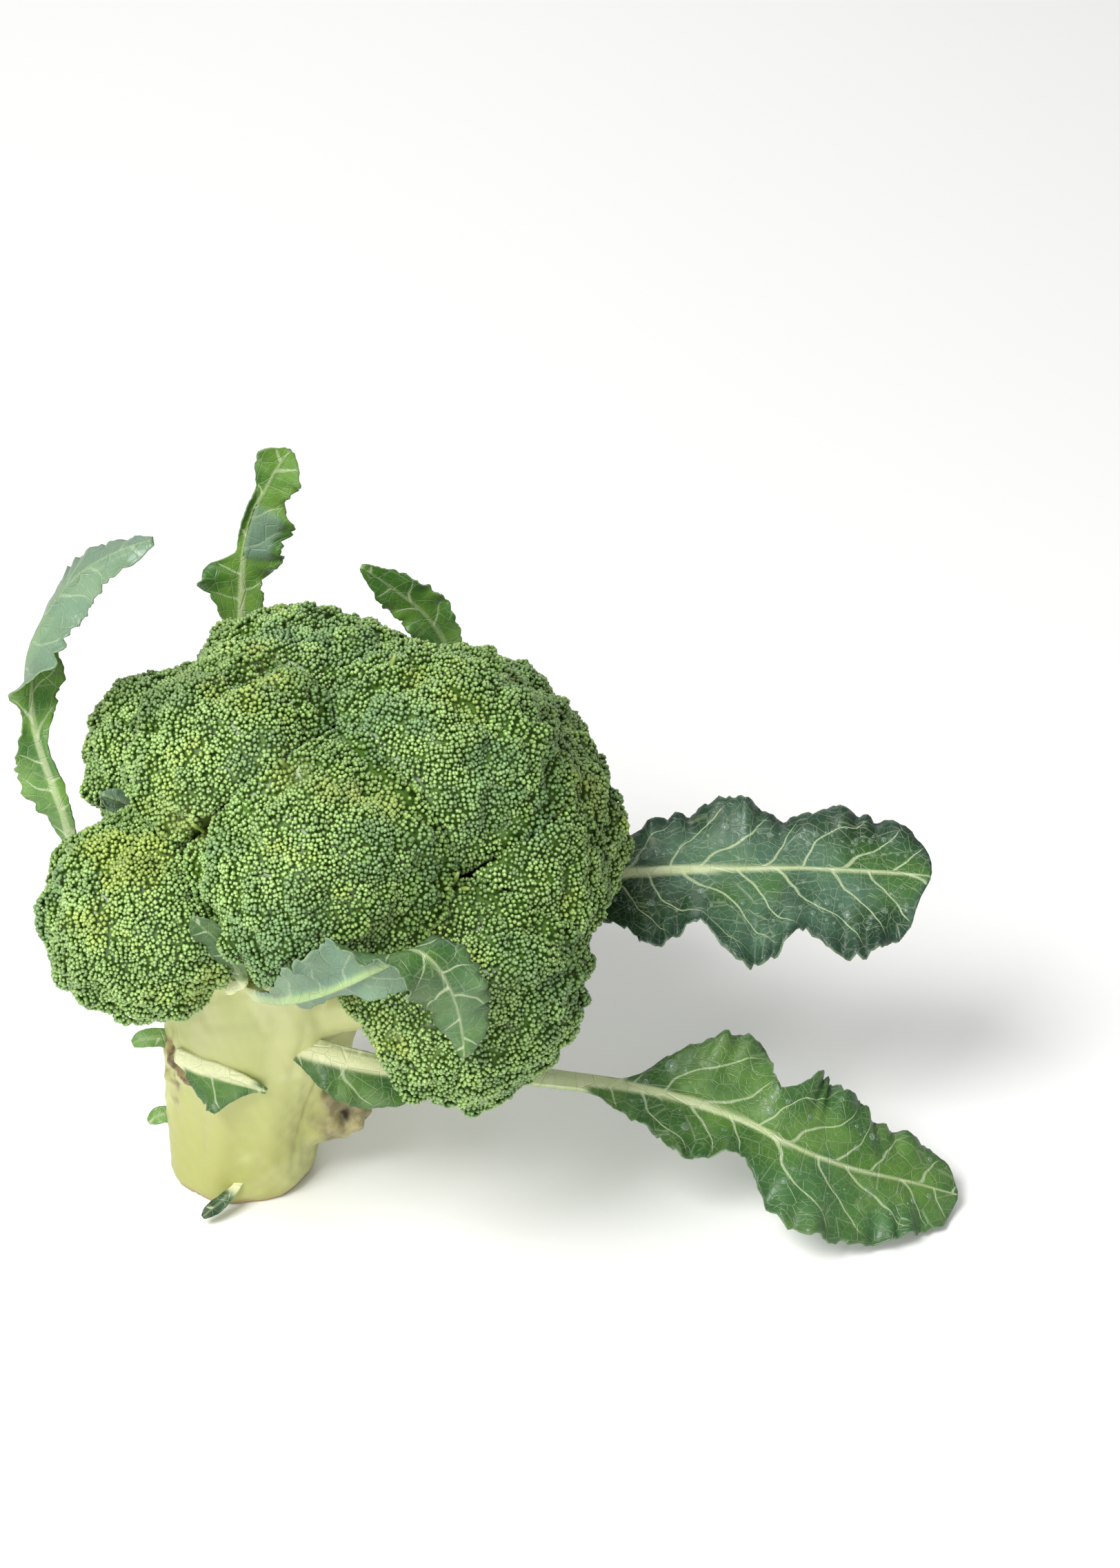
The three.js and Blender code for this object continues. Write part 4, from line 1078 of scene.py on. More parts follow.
@dataclass
class Crown:
    """All the florets, each pressed against its neighbours and covered with clusters of buds."""

    finish: BudFinish = BudFinish()
    gap: float = 0.3
    under: tuple[float, float] = (0.05, -0.95)
    under_depth: float = 0.5
    fill: float = 6.0
    fill_passes: int = 6
    dome_relief: float = 0.13
    lump: float = 0.75
    blend: float = 1.6
    cluster_area: float = 46.0
    bud_area: float = 1.62
    bud_radius: float = 0.82
    bud_jitter: float = 0.7
    bud_tilt: float = 0.5
    cluster_tilt: float = 0.4
    bud_heights: tuple[float, float] = (-0.5, 0.38)
    bud_waist: float = 0.88
    # The value tip at each ring of a bud: low values take the painted shade, high ones the painted highlight.
    bud_tips: tuple[float, float, float] = (0.12, 0.62, 1.0)
    lowest: float = -1.2
    pressed: float = 0.8
    cluster_rise: float = 1.05
    cluster_jitter: tuple[float, float] = (0.9, 0.14)
    cluster_round: float = 0.4
    cluster_shift: float = 0.7
    bud_shift: float = 0.6
    bud_sink: float = 0.4
    bud_gather: float = 0.05
    bud_sizes: tuple[float, float] = (0.78, 0.42)
    bud_ring: int = 4
    cleft_ratios: tuple[float, float] = (0.985, 0.9)
    core_depth: float = 1.6
    core_under: float = 5.0
    core_grid: tuple[int, int] = (34, 56)
    core_pole: float = 0.02
    core_sides: tuple[float, float] = (0.0, -0.6)
    core_marks: tuple[float, float, float] = (0.3, 0.45, 0.5)
    # How wide the painted shade in each pit's middle is, and the pale rim round it.
    hole_shade_size: float = 3.2
    hole_rim: float = 6.0
    pale_size: float = 5.0
    pale_share: float = 0.8
    pale_deep: float = 0.45
    pale_clouds: Waves = Waves(1.0, 45.0, 8)
    pale_range: tuple[float, float] = (0.1, 0.8)
    slow_tones: Waves = Waves(0.26, 38.0, 5)
    quick_tones: Waves = Waves(0.16, 14.0, 6)
    cleft_shade_size: float = 8.0
    stems: int = 20
    stem_radii: tuple[float, float] = (2.7, 1.5)
    stem_points: int = 5
    stem_sides: int = 6
    stem_heights: tuple[float, float] = (0.08, 0.85)
    stem_lift: float = -1.6
    stem_foot: float = 0.6
    stem_sag: float = 0.1
    sprig_radii: tuple[float, ...] = (0.7, 0.55, 0.5, 0.75, 0.45)
    sprig_sides: int = 7

    def __post_init__(self) -> None:
        """Reads the table of florets."""
        self.florets = [Floret(n, i, np.array(c, float), r, j) for i, (n, c, r, j) in enumerate(FLORETS)]

    def outside(self, floret: Floret, towards: np.ndarray) -> np.ndarray:
        """The distance from a floret's centre to the crown's outside.

        There the sum over the florets of share * exp((radius - distance) / fill) is one, where
        the share is the lesser of how far the two florets are joined.

        Args:
            floret: the floret.
            towards: unit vectors from its centre.

        Returns:
            One distance a direction.
        """
        reach = np.full(towards.shape[:-1], float(floret.radius))
        for _ in range(self.fill_passes):
            points = floret.centre + towards * reach[..., None]
            total = np.zeros_like(reach)
            for other in self.florets:
                share = 1.0 if other is floret else min(floret.joined, other.joined)
                distance = np.linalg.norm(points - other.centre, axis=-1)
                total += share * np.exp((other.radius - distance) / self.fill)
            reach = reach + self.fill * np.log(total)
        return reach

    def free(self, floret: Floret, towards: np.ndarray) -> np.ndarray:
        """The distance to a floret's surface if no wall parted it from its neighbours.

        It is the outside, drawn in by up to half under the cap, plus the radius times the relief
        of the nearest dome: its rise less relief * (1 - sqrt(1 - angle squared)).

        Args:
            floret: the floret.
            towards: unit vectors from its centre.

        Returns:
            One distance a direction.
        """
        under = smoothstep(self.under[0], self.under[1], towards @ floret.axis)
        angle = np.minimum(1, np.arccos(np.clip(towards @ floret.domes.T, -1, 1)) / floret.spread)
        relief = (floret.rises - self.dome_relief * (1 - np.sqrt(1 - angle**2))).max(-1)
        relief = np.maximum(relief, -self.dome_relief)
        drawn_in = self.outside(floret, towards) * (1 - self.under_depth * under)
        return drawn_in + floret.radius * relief * (1 - under)

    def skin(self, floret: Floret, towards: np.ndarray, lift: np.ndarray | float) -> np.ndarray:
        """The distance to a floret's surface among its neighbours.

        The free distance plus lift and the distances to the planes that part it from its
        neighbours are put through minus b log(sum of exp(-distance / b)).

        Args:
            floret: the floret.
            towards: unit vectors from its centre.
            lift: how far the free surface is raised, in millimetres.

        Returns:
            One distance a direction.
        """
        total = np.exp(-(self.free(floret, towards) + lift) / self.blend)
        for other in self.florets:
            if other is floret:
                continue
            away = other.centre - floret.centre
            span = np.linalg.norm(away)
            wall = (span**2 + floret.radius**2 - other.radius**2) / (2 * span) - self.gap / 2
            slope = towards @ away / span
            total += np.where(slope > 0.01, np.exp(-(wall / np.maximum(slope, 0.01)) / self.blend), 0)
        return -self.blend * np.log(total)

    def surface(self, floret: Floret, towards: np.ndarray, lift: np.ndarray | float) -> np.ndarray:
        """The surface's points in those directions, with small lumps and a few pits.

        The skin's distance, plus waves, less each pit's depth * exp(-(distance / size) squared).

        Args:
            floret: the floret.
            towards: unit vectors from its centre.
            lift: how far the free surface is raised, in millimetres.

        Returns:
            One point a direction.
        """
        reach = self.skin(floret, towards, lift)
        places = floret.centre + towards * reach[..., None]
        reach = reach + self.lump * waves(places, 15.0, 31) + 0.5 * self.lump * waves(places, 8.0, 32)
        for at, size, depth in PITS:
            reach = reach - depth * np.exp(-((np.linalg.norm(places - np.array(at), axis=-1) / size) ** 2))
        return floret.centre + towards * reach[..., None]

    def core(self, floret: Floret) -> Surface:
        """The dark body under the buds: the skin drawn in, on a grid of heights and turns.

        Args:
            floret: the floret to fill.

        Returns:
            The closed body with its values.
        """
        rings, sides = self.core_grid
        polar = np.linspace(self.core_pole, math.pi - self.core_pole, rings)[:, None]
        turn = np.linspace(0, 2 * math.pi, sides, endpoint=False)[None]
        towards = floret.towards(np.cos(polar) + 0 * turn, turn + 0 * polar)
        under = smoothstep(*self.core_sides, towards @ floret.axis)
        lift = -self.core_depth - self.core_under * under
        points, triangles = closed_loft(self.surface(floret, towards, lift))
        tip, shade, stem = self.core_marks
        values = {"tone": np.zeros(len(points))}
        pale = np.concatenate([(stem * under).ravel(), [0, stem]])
        ways = unit(points - floret.centre)
        pits = unit(np.array([at for at, _, _ in PITS], float) - floret.centre)
        # The middle of each pit is painted dark as shade; its rim is pale like the stems.
        hole_shade = self.near(pits, self.hole_shade_size / floret.radius, ways)
        rim = self.near(pits, self.hole_rim / floret.radius, ways) * (1 - hole_shade)
        values["tip"] = tip * (1 - hole_shade)
        values["shade"] = shade * (1 - hole_shade)
        values["stem"] = np.maximum(pale, self.pale_share * rim)
        return Surface(points, triangles, values).outward()

    def branchlets(self, floret: Floret) -> Surface:
        """The pale stems that fan out under the cap, each a curve from the branch to the skin.

        Args:
            floret: the floret that they carry.

        Returns:
            All of them as one surface.
        """
        k = np.arange(self.stems)
        highest, span = self.stem_heights
        height = highest - span * (k + 0.5) / self.stems
        towards = floret.towards(height, k * GOLDEN_ANGLE)
        ends = self.surface(floret, towards, self.stem_lift)
        foot = floret.centre - floret.axis * self.stem_foot * floret.radius
        parts = []
        for end, toward in zip(ends, towards):
            bend = foot + 0.5 * (end - foot) - self.stem_sag * floret.radius * floret.axis
            path = bezier(foot, bend, end, self.stem_points)
            radii = np.linspace(*self.stem_radii, self.stem_points)
            parts.append(self.stem(path, radii, self.stem_sides, 0.5, 1.0))
        return Surface.join(parts)

    @staticmethod
    def stem(path: np.ndarray, radii: np.ndarray, sides: int, shade: float, pale: float) -> Surface:
        """A small stem in the buds' finish.

        Args:
            path: its points.
            radii: one a point.
            sides: points a ring.
            shade: how light it is, from 0 to 1.
            pale: how much of it is the stems' colour rather than the buds'.

        Returns:
            The stem with its values.
        """
        points, triangles = tube(path, radii, sides)
        values = {"tip": 0.5, "shade": shade, "tone": 0.0, "stem": pale}
        return Surface(points, triangles, {key: np.full(len(points), value) for key, value in values.items()})

    def sprigs(self, floret: Floret) -> list[Surface]:
        """The small pale stems in the clefts, each thicker at its tip.

        Args:
            floret: the floret on whose side they stand.

        Returns:
            One surface a stem.
        """
        parts = []
        for name, foot, tip in SPRIGS:
            if name != floret.name:
                continue
            radii = np.array(self.sprig_radii)
            path = np.linspace(np.array(foot, float), np.array(tip, float), len(radii))
            parts.append(self.stem(path, radii, self.sprig_sides, 0.6, 0.6))
        return parts

    def tone(self, points: np.ndarray) -> np.ndarray:
        """Yellow above 0 and bluish below: slow noise plus a few round patches.

        Args:
            points: places in millimetres.

        Returns:
            One value a point.
        """
        value = self.slow_tones.at(points) + self.quick_tones.at(points)
        for at, size, amount in PATCHES:
            value = value + amount * np.exp(-(np.linalg.norm(points - np.array(at), axis=-1) / size) ** 2)
        return value

    @staticmethod
    def near(places: tuple[Triple, ...] | np.ndarray, size: float, points: np.ndarray) -> np.ndarray:
        """How near points are to any of the places: exp(-(distance / size) squared)."""
        away = np.linalg.norm(points[..., None, :] - np.array(places, float), axis=-1).min(-1)
        return np.exp(-((away / size) ** 2))

    def pale(self, points: np.ndarray, deep: np.ndarray) -> np.ndarray:
        """How pale the buds are: near the named places, and deep in clefts here and there."""
        anywhere = self.pale_deep * deep * smoothstep(*self.pale_range, self.pale_clouds.at(points))
        return np.maximum(anywhere, self.pale_share * self.near(PALE_CLEFTS, self.pale_size, points))

    @staticmethod
    def shake(number: np.ndarray, factors: tuple[float, float, float], start: float = 0.0) -> np.ndarray:
        """A draw between -0.5 and 0.5 along each axis: of the numbers times a factor, plus start."""
        return np.stack([draw(number * c + start) - 0.5 for c in factors], 1)

    def bud_places(self, floret: Floret) -> tuple[np.ndarray, ...]:
        """Where the buds are: a jittered golden spiral, drawn together round cluster centres.

        Args:
            floret: the floret to cover.

        Returns:
            The buds' places, the way each points, its size, its cluster's number and how deep it
            is in the cleft between two florets.
        """
        count = floret.count(self.cluster_area)
        k = np.arange(count)
        seed = 17 * floret.index + 3 * k
        along, about = self.cluster_jitter
        height = np.clip(1 - floret.cap * (k + 0.5 + along * (draw(seed + 0.5) - 0.5)) / count, -1, 1)
        middles = floret.towards(height, k * GOLDEN_ANGLE + about * draw(seed))
        count = floret.count(self.bud_area)
        j = np.arange(count)
        pitch = math.sqrt(self.bud_area) / floret.radius
        height = 1 - floret.cap * (j + 0.5) / count
        towards = floret.towards(height, j * GOLDEN_ANGLE)
        towards = unit(towards + self.bud_jitter * pitch * self.shake(j, (1.3, 2.1, 3.7), floret.index))
        ratio = self.skin(floret, towards, 0.0) / self.free(floret, towards)
        kept = ratio > self.pressed
        towards, j, ratio = towards[kept], j[kept], ratio[kept]
        near = np.argmax(towards @ middles.T, axis=1)
        offset = towards - middles[near]
        reach = math.sqrt(self.cluster_area / math.pi) / floret.radius
        spread = np.linalg.norm(offset, axis=1) / reach
        ways = unit(towards - self.bud_gather * offset)
        lift = self.cluster_rise * (self.cluster_round - spread**2)
        lift = lift + self.cluster_shift * (draw(seed[near] + 1.7) - 0.5)
        lift = lift + self.bud_shift * (draw(j * 5.3 + floret.index) - 0.5) - self.bud_sink
        places = self.surface(floret, ways, np.maximum(lift, self.lowest))
        out = unit(ways + self.cluster_tilt * offset / reach + self.bud_tilt * self.shake(j, (2.3, 3.1, 4.7)))
        least, more = self.bud_sizes
        size = self.bud_radius * (least + more * draw(j * 1.7 + 13 * floret.index))
        return places, out, size, seed[near], smoothstep(*self.cleft_ratios, ratio)

    def buds(self, floret: Floret) -> Surface:
        """The flower buds: each is two rings of four and a tip, an egg that points outwards.

        Args:
            floret: the floret to cover.

        Returns:
            All its buds as one surface.
        """
        places, out, size, number, deep = self.bud_places(floret)
        ring, tip = self.bud_ring, 2 * self.bud_ring
        heights = np.repeat(self.bud_heights, ring)
        turn = 2 * math.pi * (np.arange(tip) + 0.5 * (np.arange(tip) >= ring)) / ring
        shape = np.stack([self.bud_waist * np.cos(turn), self.bud_waist * np.sin(turn), heights], 1)
        shape = np.concatenate([shape, [[0, 0, 1.0]]])
        any_way = np.stack([draw(number + k + np.arange(len(number)) * 0.37) - 0.5 for k in (1, 2, 3)], 1)
        spin = unit(np.cross(out, unit(any_way)))
        other = np.cross(out, spin)
        x, y, z = (shape[None, :, k : k + 1] for k in range(3))
        egg = x * spin[:, None] + y * other[:, None] + z * out[:, None]
        points = places[:, None] + size[:, None, None] * egg
        k = np.arange(ring)
        n = (k + 1) % ring
        faces = np.concatenate(
            [
                [[0, 2, 1], [0, 3, 2]],
                np.stack([k, n, k + ring], 1),
                np.stack([n, n + ring, k + ring], 1),
                np.stack([np.full(ring, tip), k + ring, n + ring], 1),
            ]
        )
        count, each = len(places), tip + 1
        triangles = (faces[None] + each * np.arange(count)[:, None, None]).reshape(-1, 3)
        low = np.repeat(self.bud_tips, (ring, ring, 1))
        cluster = draw(number * 0.71)
        own = draw(np.arange(count) * 1.31 + floret.index)
        # Random brightness by cluster and by bud, less painted shade near the shaded clefts.
        shade = 0.5 * cluster + 0.5 * own - self.near(SHADED_CLEFTS, self.cleft_shade_size, places)
        values = {
            "tip": np.tile(low, count),
            "shade": np.repeat(np.clip(shade, 0, 1), each),
            "tone": np.repeat(self.tone(places) + 0.3 * (cluster - 0.5), each),
            "stem": np.repeat(self.pale(places, deep), each),
        }
        return Surface(points.reshape(-1, 3), triangles, values)

    def build(self) -> None:
        """Makes and dresses every floret."""
        material = self.finish.material()
        total = 0
        for floret in self.florets:
            parts = [self.core(floret), self.branchlets(floret), *self.sprigs(floret), self.buds(floret)]
            whole = Surface.join(parts)
            total += len(whole.triangles)
            name = floret.name.replace("floret", "buds")
            place_piece(name, whole.mesh(name), material, (floret.name,))
        log.info("florets: %d triangles in all", total)


# The stalk


@dataclass
class Stalk:
    """The trunk, its branches and the torn stump, grown together into one skin."""

    finish: StalkFinish = StalkFinish()
    flutes: int = 7
    flute_depth: float = 0.025
    flute_twist: float = 0.03
    branch_radii: tuple[float, float] = (12.0, 6.5)
    root_heights: tuple[float, float] = (50.0, 84.0)
    voxel: float = 1.2
    soften: float = 0.6
    soften_passes: int = 4
    peel_radii: tuple[float, float] = (1.5, 1.0)
    peel_points: int = 24
    crease_ends: float = 14.0
    crease_lean: float = 0.002
    crease_middle: float = 50.0
    axis_leans: tuple[float, float] = (0.12, 0.02)
    foot_height: float = 0.7
    foot_fade: tuple[float, float] = (0.5, 5)
    branch_tip: float = 0.22
    branch_drop: float = 0.95
    branch_bend: tuple[float, float] = (0.45, 0.55)
    broad_dents: Waves = Waves(0.35, 16.0, 11, (1, 1, 0.4))
    fine_dents: Waves = Waves(0.12, 5.0, 12)
    hollow: Spot = Spot(HOLLOW, 3.6, (1, 1, 0.8))
    hollow_depth: float = 5.5
    knob: Spot = Spot(STUMP, 11)
    knob_lumps: Waves = Waves(1.3, 6.0, 13, (1, 1, 0.5))
    scar: Spot = Spot(SCAR, 7, (1, 1, 0.45))
    scar_lumps: Waves = Waves(0.9, 6.0, 14)
    torn: Spot = Spot(STUMP_SKIN, stretch=(0.9, 1, 1))
    torn_edge: Waves = Waves(1.0, 8.0, 21)
    torn_reach: tuple[float, float] = (16.5, 12.0)
    # Where the stump's hollow is painted dark as shade.
    hole_shade: Spot = Spot(HOLLOW, stretch=(1.3, 0.3, 0.7))
    hole_shade_reach: tuple[float, float] = (3.4, 1.4)
    patch: Spot = Spot(DRY_PATCH, stretch=(1, 1, 0.6))
    patch_share: float = 0.4
    dried_edge: Waves = Waves(0.5, 5.0, 22)
    dried_reach: tuple[float, float] = (3.4, 1.6)
    rim_edge: Waves = Waves(0.5, 9.0, 23)
    rim_heights: tuple[float, float] = (2.2, 0.8)
    rim_reach: tuple[float, float] = (17, 20)
    branch_heights: tuple[float, float] = (84, 104)
    top: float = 100.0

    def trunk(self) -> tuple[np.ndarray, np.ndarray]:
        """Rings between the table's: half widths times 1 plus a fluting cosine of the turn.

        Returns:
            Its points and triangles.
        """
        rings = np.array(STALK_RINGS, float)
        height = np.concatenate([np.linspace(0, 4, 9)[:-1], np.linspace(4, 100, 65)])
        middle = [np.interp(height, rings[:, 0], rings[:, i]) for i in range(1, 5)]
        turn = np.linspace(0, 2 * math.pi, 120, endpoint=False)[None]
        x, y, rx, ry = (m[:, None] for m in middle)
        flute = 1 + self.flute_depth * np.cos(self.flutes * turn + self.flute_twist * height[:, None])
        across, along = x + rx * flute * np.cos(turn), y + ry * flute * np.sin(turn)
        return closed_loft(np.stack(np.broadcast_arrays(across, along, height[:, None]), -1))

    def centre_at(self, height: float) -> np.ndarray:
        """The trunk's centre at a height.

        Args:
            height: in millimetres above the foot.

        Returns:
            The centre as a point.
        """
        rings = np.array(STALK_RINGS, float)
        x, y = (np.interp(height, rings[:, 0], rings[:, k]) for k in (1, 2))
        return np.array([x, y, height])

    def branch(self, floret: Floret) -> tuple[np.ndarray, np.ndarray]:
        """A branch leaves the trunk upwards, bends out and ends inside its floret.

        Args:
            floret: the floret at its end.

        Returns:
            Its points and triangles.
        """
        tip = floret.centre - self.branch_tip * floret.radius * floret.axis
        reach = math.hypot(tip[0] - HUB[0], tip[1] - HUB[1])
        height = min(self.root_heights[1], max(self.root_heights[0], tip[2] - self.branch_drop * reach))
        root = self.centre_at(height)
        bend = root + self.branch_bend[0] * (tip - root)
        bend[2] = root[2] + self.branch_bend[1] * (tip[2] - root[2])
        return tube(bezier(root, bend, tip, 16), np.linspace(*self.branch_radii, 16), 20)

    def stump(self) -> tuple[np.ndarray, np.ndarray]:
        """The torn stem on the right: a short stem along the table's points."""
        rows = rows_at(np.array(KNOB, float), np.linspace(0, 1, 14))
        return tube(rows[:, :3], 1.1 * rows[:, 3], 24)

    def peel(self) -> tuple[np.ndarray, np.ndarray]:
        """A dried strip of skin that stands off the left side: a thin stem along its line."""
        path = rows_at(np.array(PEEL, float), np.linspace(0, 1, self.peel_points))
        return tube(path, np.linspace(*self.peel_radii, self.peel_points), 8)

    def shoots(self) -> list[tuple[np.ndarray, np.ndarray]]:
        """Small cut side shoots high on the front of the trunk.

        Returns:
            The points and triangles of each.
        """
        parts = []
        for foot, end, radius in SHOOTS:
            path = np.linspace(np.array(foot, float), np.array(end, float), 7)
            parts.append(tube(path, radius * np.array([1.5, 1.2, 1, 0.9, 0.9, 1, 0.75]), 12))
        return parts

    def build(self, crown: Crown) -> None:
        """Joins the parts, remeshes them as one skin, smooths it and marks its stains.

        Args:
            crown: the florets that the branches carry.
        """
        branches = [self.branch(floret) for floret in crown.florets]
        shapes = [self.trunk(), self.stump(), self.peel(), *self.shoots(), *branches]
        whole = Surface.join([Surface(points, triangles).outward() for points, triangles in shapes])
        rough = whole.mesh("stalk_rough")
        holder = bpy.data.objects.new("stalk_rough", rough)
        bpy.context.scene.collection.objects.link(holder)
        remesh = holder.modifiers.new("skin", "REMESH")
        remesh.mode = "VOXEL"
        remesh.voxel_size = self.voxel * MM
        smooth = holder.modifiers.new("soft", "SMOOTH")
        smooth.factor = self.soften
        smooth.iterations = self.soften_passes
        graph = bpy.context.evaluated_depsgraph_get()
        mesh = bpy.data.meshes.new_from_object(holder.evaluated_get(graph), depsgraph=graph)
        bpy.data.objects.remove(holder)
        mesh.name = "stalk_skin"
        points = np.zeros(3 * len(mesh.vertices), np.float32)
        mesh.vertices.foreach_get("co", points)
        normals = np.zeros_like(points)
        mesh.vertices.foreach_get("normal", normals)
        points = points.reshape(-1, 3).astype(float) / MM
        normals = normals.reshape(-1, 3).astype(float)
        points = self.weather(points, normals)
        mesh.vertices.foreach_set("co", (points * MM).astype(np.float32).ravel())
        for key, value in self.marks(points).items():
            mesh.attributes.new(key, "FLOAT", "POINT").data.foreach_set("value", value.astype(np.float32))
        mesh.update()
        mesh.shade_smooth()
        place_piece("stalk_skin", mesh, self.finish.material(), ("stalk",))

    def weather(self, points: np.ndarray, normals: np.ndarray) -> np.ndarray:
        """Moves the skin along its normals: soft dents, upright creases and the stump's hollow.

        Args:
            points: the skin's points in millimetres.
            normals: their normals.

        Returns:
            The moved points, with the foot pressed flat at height 0.
        """
        turn = np.arctan2(points[:, 1], points[:, 0] - self.axis_leans[0] * points[:, 2])
        push = self.broad_dents.at(points) + self.fine_dents.at(points)
        height, ends = points[:, 2], self.crease_ends
        for angle, width, depth, low, high in CREASES:
            lean = angle + self.crease_lean * (height - self.crease_middle)
            line = np.exp(-(((turn - lean) / width) ** 2))
            push -= depth * line * smoothstep(low, low + ends, height) * smoothstep(high, high - ends, height)
        push -= self.hollow_depth * self.hollow.soft(points)
        push += self.knob.soft(points) * self.knob_lumps.at(points)
        push += self.scar.soft(points) * self.scar_lumps.at(points)
        moved = points + normals * (push * smoothstep(*self.foot_fade, points[:, 2]))[:, None]
        moved[:, 2] = np.where(moved[:, 2] < self.foot_height, 0.0, moved[:, 2])
        return moved

    def marks(self, points: np.ndarray) -> dict[str, np.ndarray]:
        """How high, torn, dried, cut and branch-like the skin is at each point, and where the hollow gets
        painted shade.

        Args:
            points: the skin's points in millimetres.

        Returns:
            Values by name, one a point.
        """
        torn = smoothstep(*self.torn_reach, self.torn.far(points) + self.torn_edge.at(points))
        path = rows_at(np.array(PEEL, float), np.linspace(0, 1, self.peel_points))
        strip = np.linalg.norm(points[:, None] - path[None], axis=-1).min(axis=1)
        strip = np.minimum(strip, self.dried_reach[1] + self.patch_share * self.patch.far(points))
        dried = smoothstep(*self.dried_reach, strip + self.dried_edge.at(points))
        edge = points[:, 2] + self.rim_edge.at(points)
        axis = points[:, :2] - np.stack([self.axis_leans[1] * points[:, 2], 0 * points[:, 2]], 1)
        rim = smoothstep(*self.rim_heights, edge)
        return {
            "height": np.clip(points[:, 2] / self.top, 0, 1),
            "torn": torn,
            "hole_shade": smoothstep(*self.hole_shade_reach, self.hole_shade.far(points)),
            "dried": dried * (points[:, 0] < 0),
            "rim": rim * smoothstep(*self.rim_reach, np.linalg.norm(axis, axis=1)),
            "branch": smoothstep(*self.branch_heights, points[:, 2]),
        }


# The leaves


